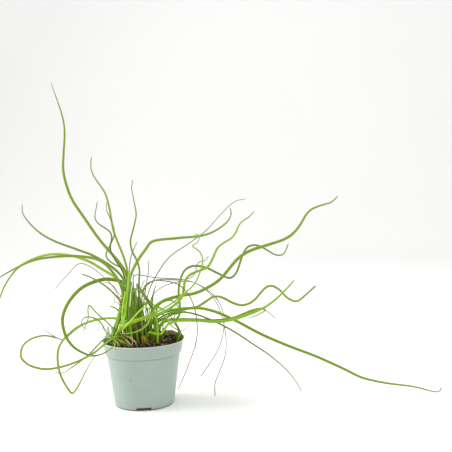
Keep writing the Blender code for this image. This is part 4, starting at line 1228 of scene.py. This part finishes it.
def build_sweep(settings):
    """Floor and backdrop in one sheet of paper, with a wide bend at the back."""
    bm = bmesh.new()
    bmesh.ops.create_grid(bm, x_segments=2, y_segments=2, size=SWEEP_REACH)
    back = [e for e in bm.edges if all(v.co.y > 0.9*SWEEP_REACH for v in e.verts)]
    lifted = bmesh.ops.extrude_edge_only(bm, edges=back)["geom"]
    bmesh.ops.translate(bm, verts=[v for v in lifted if isinstance(v, bmesh.types.BMVert)],
                        vec=(0, 0, SWEEP_REACH))
    bmesh.ops.bevel(bm, geom=back, offset=SWEEP_BEND, offset_type="OFFSET", affect="EDGES", segments=16,
                    profile=0.5, material=-1)
    bmesh.ops.recalc_face_normals(bm, faces=bm.faces)
    sweep = new_object("paper_sweep", mesh_of("paper_sweep", bm))
    sweep.data.shade_smooth()
    sweep.data.materials.append(paper_material(settings))


def add_camera():
    """The camera of the photograph: where it stood, how far it looked down and leaned."""
    pitch, roll = math.radians(PITCH), math.radians(ROLL)
    up = Vector((0.0, math.sin(pitch), math.cos(pitch)))
    right = Vector((1.0, 0.0, 0.0))
    back = Vector((0.0, -math.cos(pitch), math.sin(pitch)))
    across = right*math.cos(roll) + up*math.sin(roll)
    upward = up*math.cos(roll) - right*math.sin(roll)
    data = bpy.data.cameras.new("photo_camera")
    data.sensor_width = SENSOR
    data.lens = FOCAL_PIXELS/IMAGE_WIDTH*SENSOR
    camera = new_object("photo_camera", data)
    turn = Matrix((across, upward, back)).transposed().to_4x4()
    camera.matrix_world = Matrix.Translation(EYE) @ turn
    bpy.context.scene.camera = camera


def light_sky(strength):
    """Even white light from every side, with the colours shown as they are."""
    world = bpy.data.worlds.new("studio_sky")
    world.use_nodes = True
    sky = world.node_tree.nodes["Background"]
    sky.inputs["Color"].default_value = (1.0, 1.0, 1.0, 1.0)
    sky.inputs["Strength"].default_value = strength
    bpy.context.scene.world = world
    bpy.context.scene.view_settings.view_transform = "Standard"


# Operators

class RUSH_OT_grow_culms(bpy.types.Operator):
    """Grows a fine round skin over every culm of the clump"""
    bl_idname = "rush.grow_culms"
    bl_label = "Grow Culms"

    def execute(self, context):
        for node in culm_lines():
            draw_culm(node, context.scene.rush_culms)
        return {"FINISHED"}


class RUSH_OT_sheathe_feet(bpy.types.Operator):
    """Wraps the feet of the older culms in dry brown sheaths"""
    bl_idname = "rush.sheathe_feet"
    bl_label = "Sheathe Feet"

    def execute(self, context):
        bm = bmesh.new()
        for node, height, opening in SHEATHED:
            draw_sheath(bm, node, height, opening, context.scene.rush_culms)
        finish_object("basal_sheaths", bm, [sheath_material()])
        return {"FINISHED"}


class RUSH_OT_raise_shoots(bpy.types.Operator):
    """Raises the slender shoots of the crown, and the old bases between the culms"""
    bl_idname = "rush.raise_shoots"
    bl_label = "Raise Shoots"

    def execute(self, context):
        for shoot in SHOOTS:
            build_shoot(*shoot)
        surface = tree_of(bpy.data.objects["peat"].data)
        build_bases(context.scene.rush_culms, surface,
                    [rush_material("shoot_deep"), rush_material("old_base")])
        return {"FINISHED"}


class RUSH_OT_mould_pot(bpy.types.Operator):
    """Moulds the nursery pot with its rim band, shelf, foot ring and drain slots"""
    bl_idname = "rush.mould_pot"
    bl_label = "Mould Pot"

    def execute(self, context):
        settings = context.scene.rush_pot
        blank = turned([(p.x, p.y) for p in softened(pot_profile(settings))], settings.steps)
        pot = finish_object("nursery_pot", cut_slots(blank, settings), [plastic_material(settings)],
                            ["pot"])
        pot.data.set_sharp_from_angle(angle=math.radians(38))
        return {"FINISHED"}


class RUSH_OT_fill_peat(bpy.types.Operator):
    """Fills the pot with peat, and strews crumbs, fibres and moss over it"""
    bl_idname = "rush.fill_peat"
    bl_label = "Fill Peat"

    def execute(self, context):
        settings = context.scene.rush_peat
        kinds = [peat_material("milled_peat", settings, 0.0),
                 peat_material("brown_peat", settings, 0.09), rush_material("dried_peat")]
        surface = tree_of(build_peat(settings, kinds[0]).data)
        build_crumbs(settings, surface, kinds)
        build_bank(settings, surface, kinds)
        build_slot_peat(context.scene.rush_pot, rush_material("pressed_peat"))
        for moss in MOSSES:
            build_moss(*moss, surface)
        build_fibres(settings, surface, rush_material("peat_fibre"))
        return {"FINISHED"}


class RUSH_OT_scatter_straw(bpy.types.Operator):
    """Lays the dry scraps of rush and the torn sheaths about the culms' feet"""
    bl_idname = "rush.scatter_straw"
    bl_label = "Scatter Straw"

    def execute(self, context):
        surface = tree_of(bpy.data.objects["peat"].data)
        for scrap in SCRAPS:
            build_scrap(*scrap, surface)
        return {"FINISHED"}


class RUSH_OT_spin_threads(bpy.types.Operator):
    """Spins the fine dry threads that hang from the clump"""
    bl_idname = "rush.spin_threads"
    bl_label = "Spin Threads"

    def execute(self, context):
        for thread in THREADS:
            build_thread(*thread)
        return {"FINISHED"}


class RUSH_OT_set_stage(bpy.types.Operator):
    """Lays the paper sweep, and sets the lights and the photograph's camera"""
    bl_idname = "rush.set_stage"
    bl_label = "Set Stage"

    def execute(self, context):
        settings = context.scene.rush_stage
        build_sweep(settings)
        light_sky(settings.sky)
        for name, power, *beam in LIGHTS:
            area_light(name, getattr(settings, power), *beam)
        add_camera()
        return {"FINISHED"}


class RUSH_PT_panel(bpy.types.Panel):
    """Lists the steps that make the potted rush"""
    bl_idname = "RUSH_PT_panel"
    bl_label = "Potted Rush"
    bl_space_type = "VIEW_3D"
    bl_region_type = "UI"
    bl_category = "Rush"

    def draw(self, context):
        for step in STEPS:
            self.layout.operator(step.bl_idname)


SETTINGS = {"rush_culms": CulmSettings, "rush_pot": PotSettings, "rush_peat": PeatSettings,
            "rush_stage": StageSettings}
STEPS = (RUSH_OT_mould_pot, RUSH_OT_fill_peat, RUSH_OT_grow_culms, RUSH_OT_sheathe_feet,
         RUSH_OT_raise_shoots, RUSH_OT_scatter_straw, RUSH_OT_spin_threads, RUSH_OT_set_stage)


def register():
    for made in (*SETTINGS.values(), *STEPS, RUSH_PT_panel):
        bpy.utils.register_class(made)
    for name, group in SETTINGS.items():
        setattr(bpy.types.Scene, name, PointerProperty(type=group))


def unregister():
    for name in SETTINGS:
        delattr(bpy.types.Scene, name)
    for made in reversed((*SETTINGS.values(), *STEPS, RUSH_PT_panel)):
        bpy.utils.unregister_class(made)


def main():
    register()
    for step in STEPS:
        group, action = step.bl_idname.split(".")
        getattr(getattr(bpy.ops, group), action)()


if __name__ == "__main__":
    main()
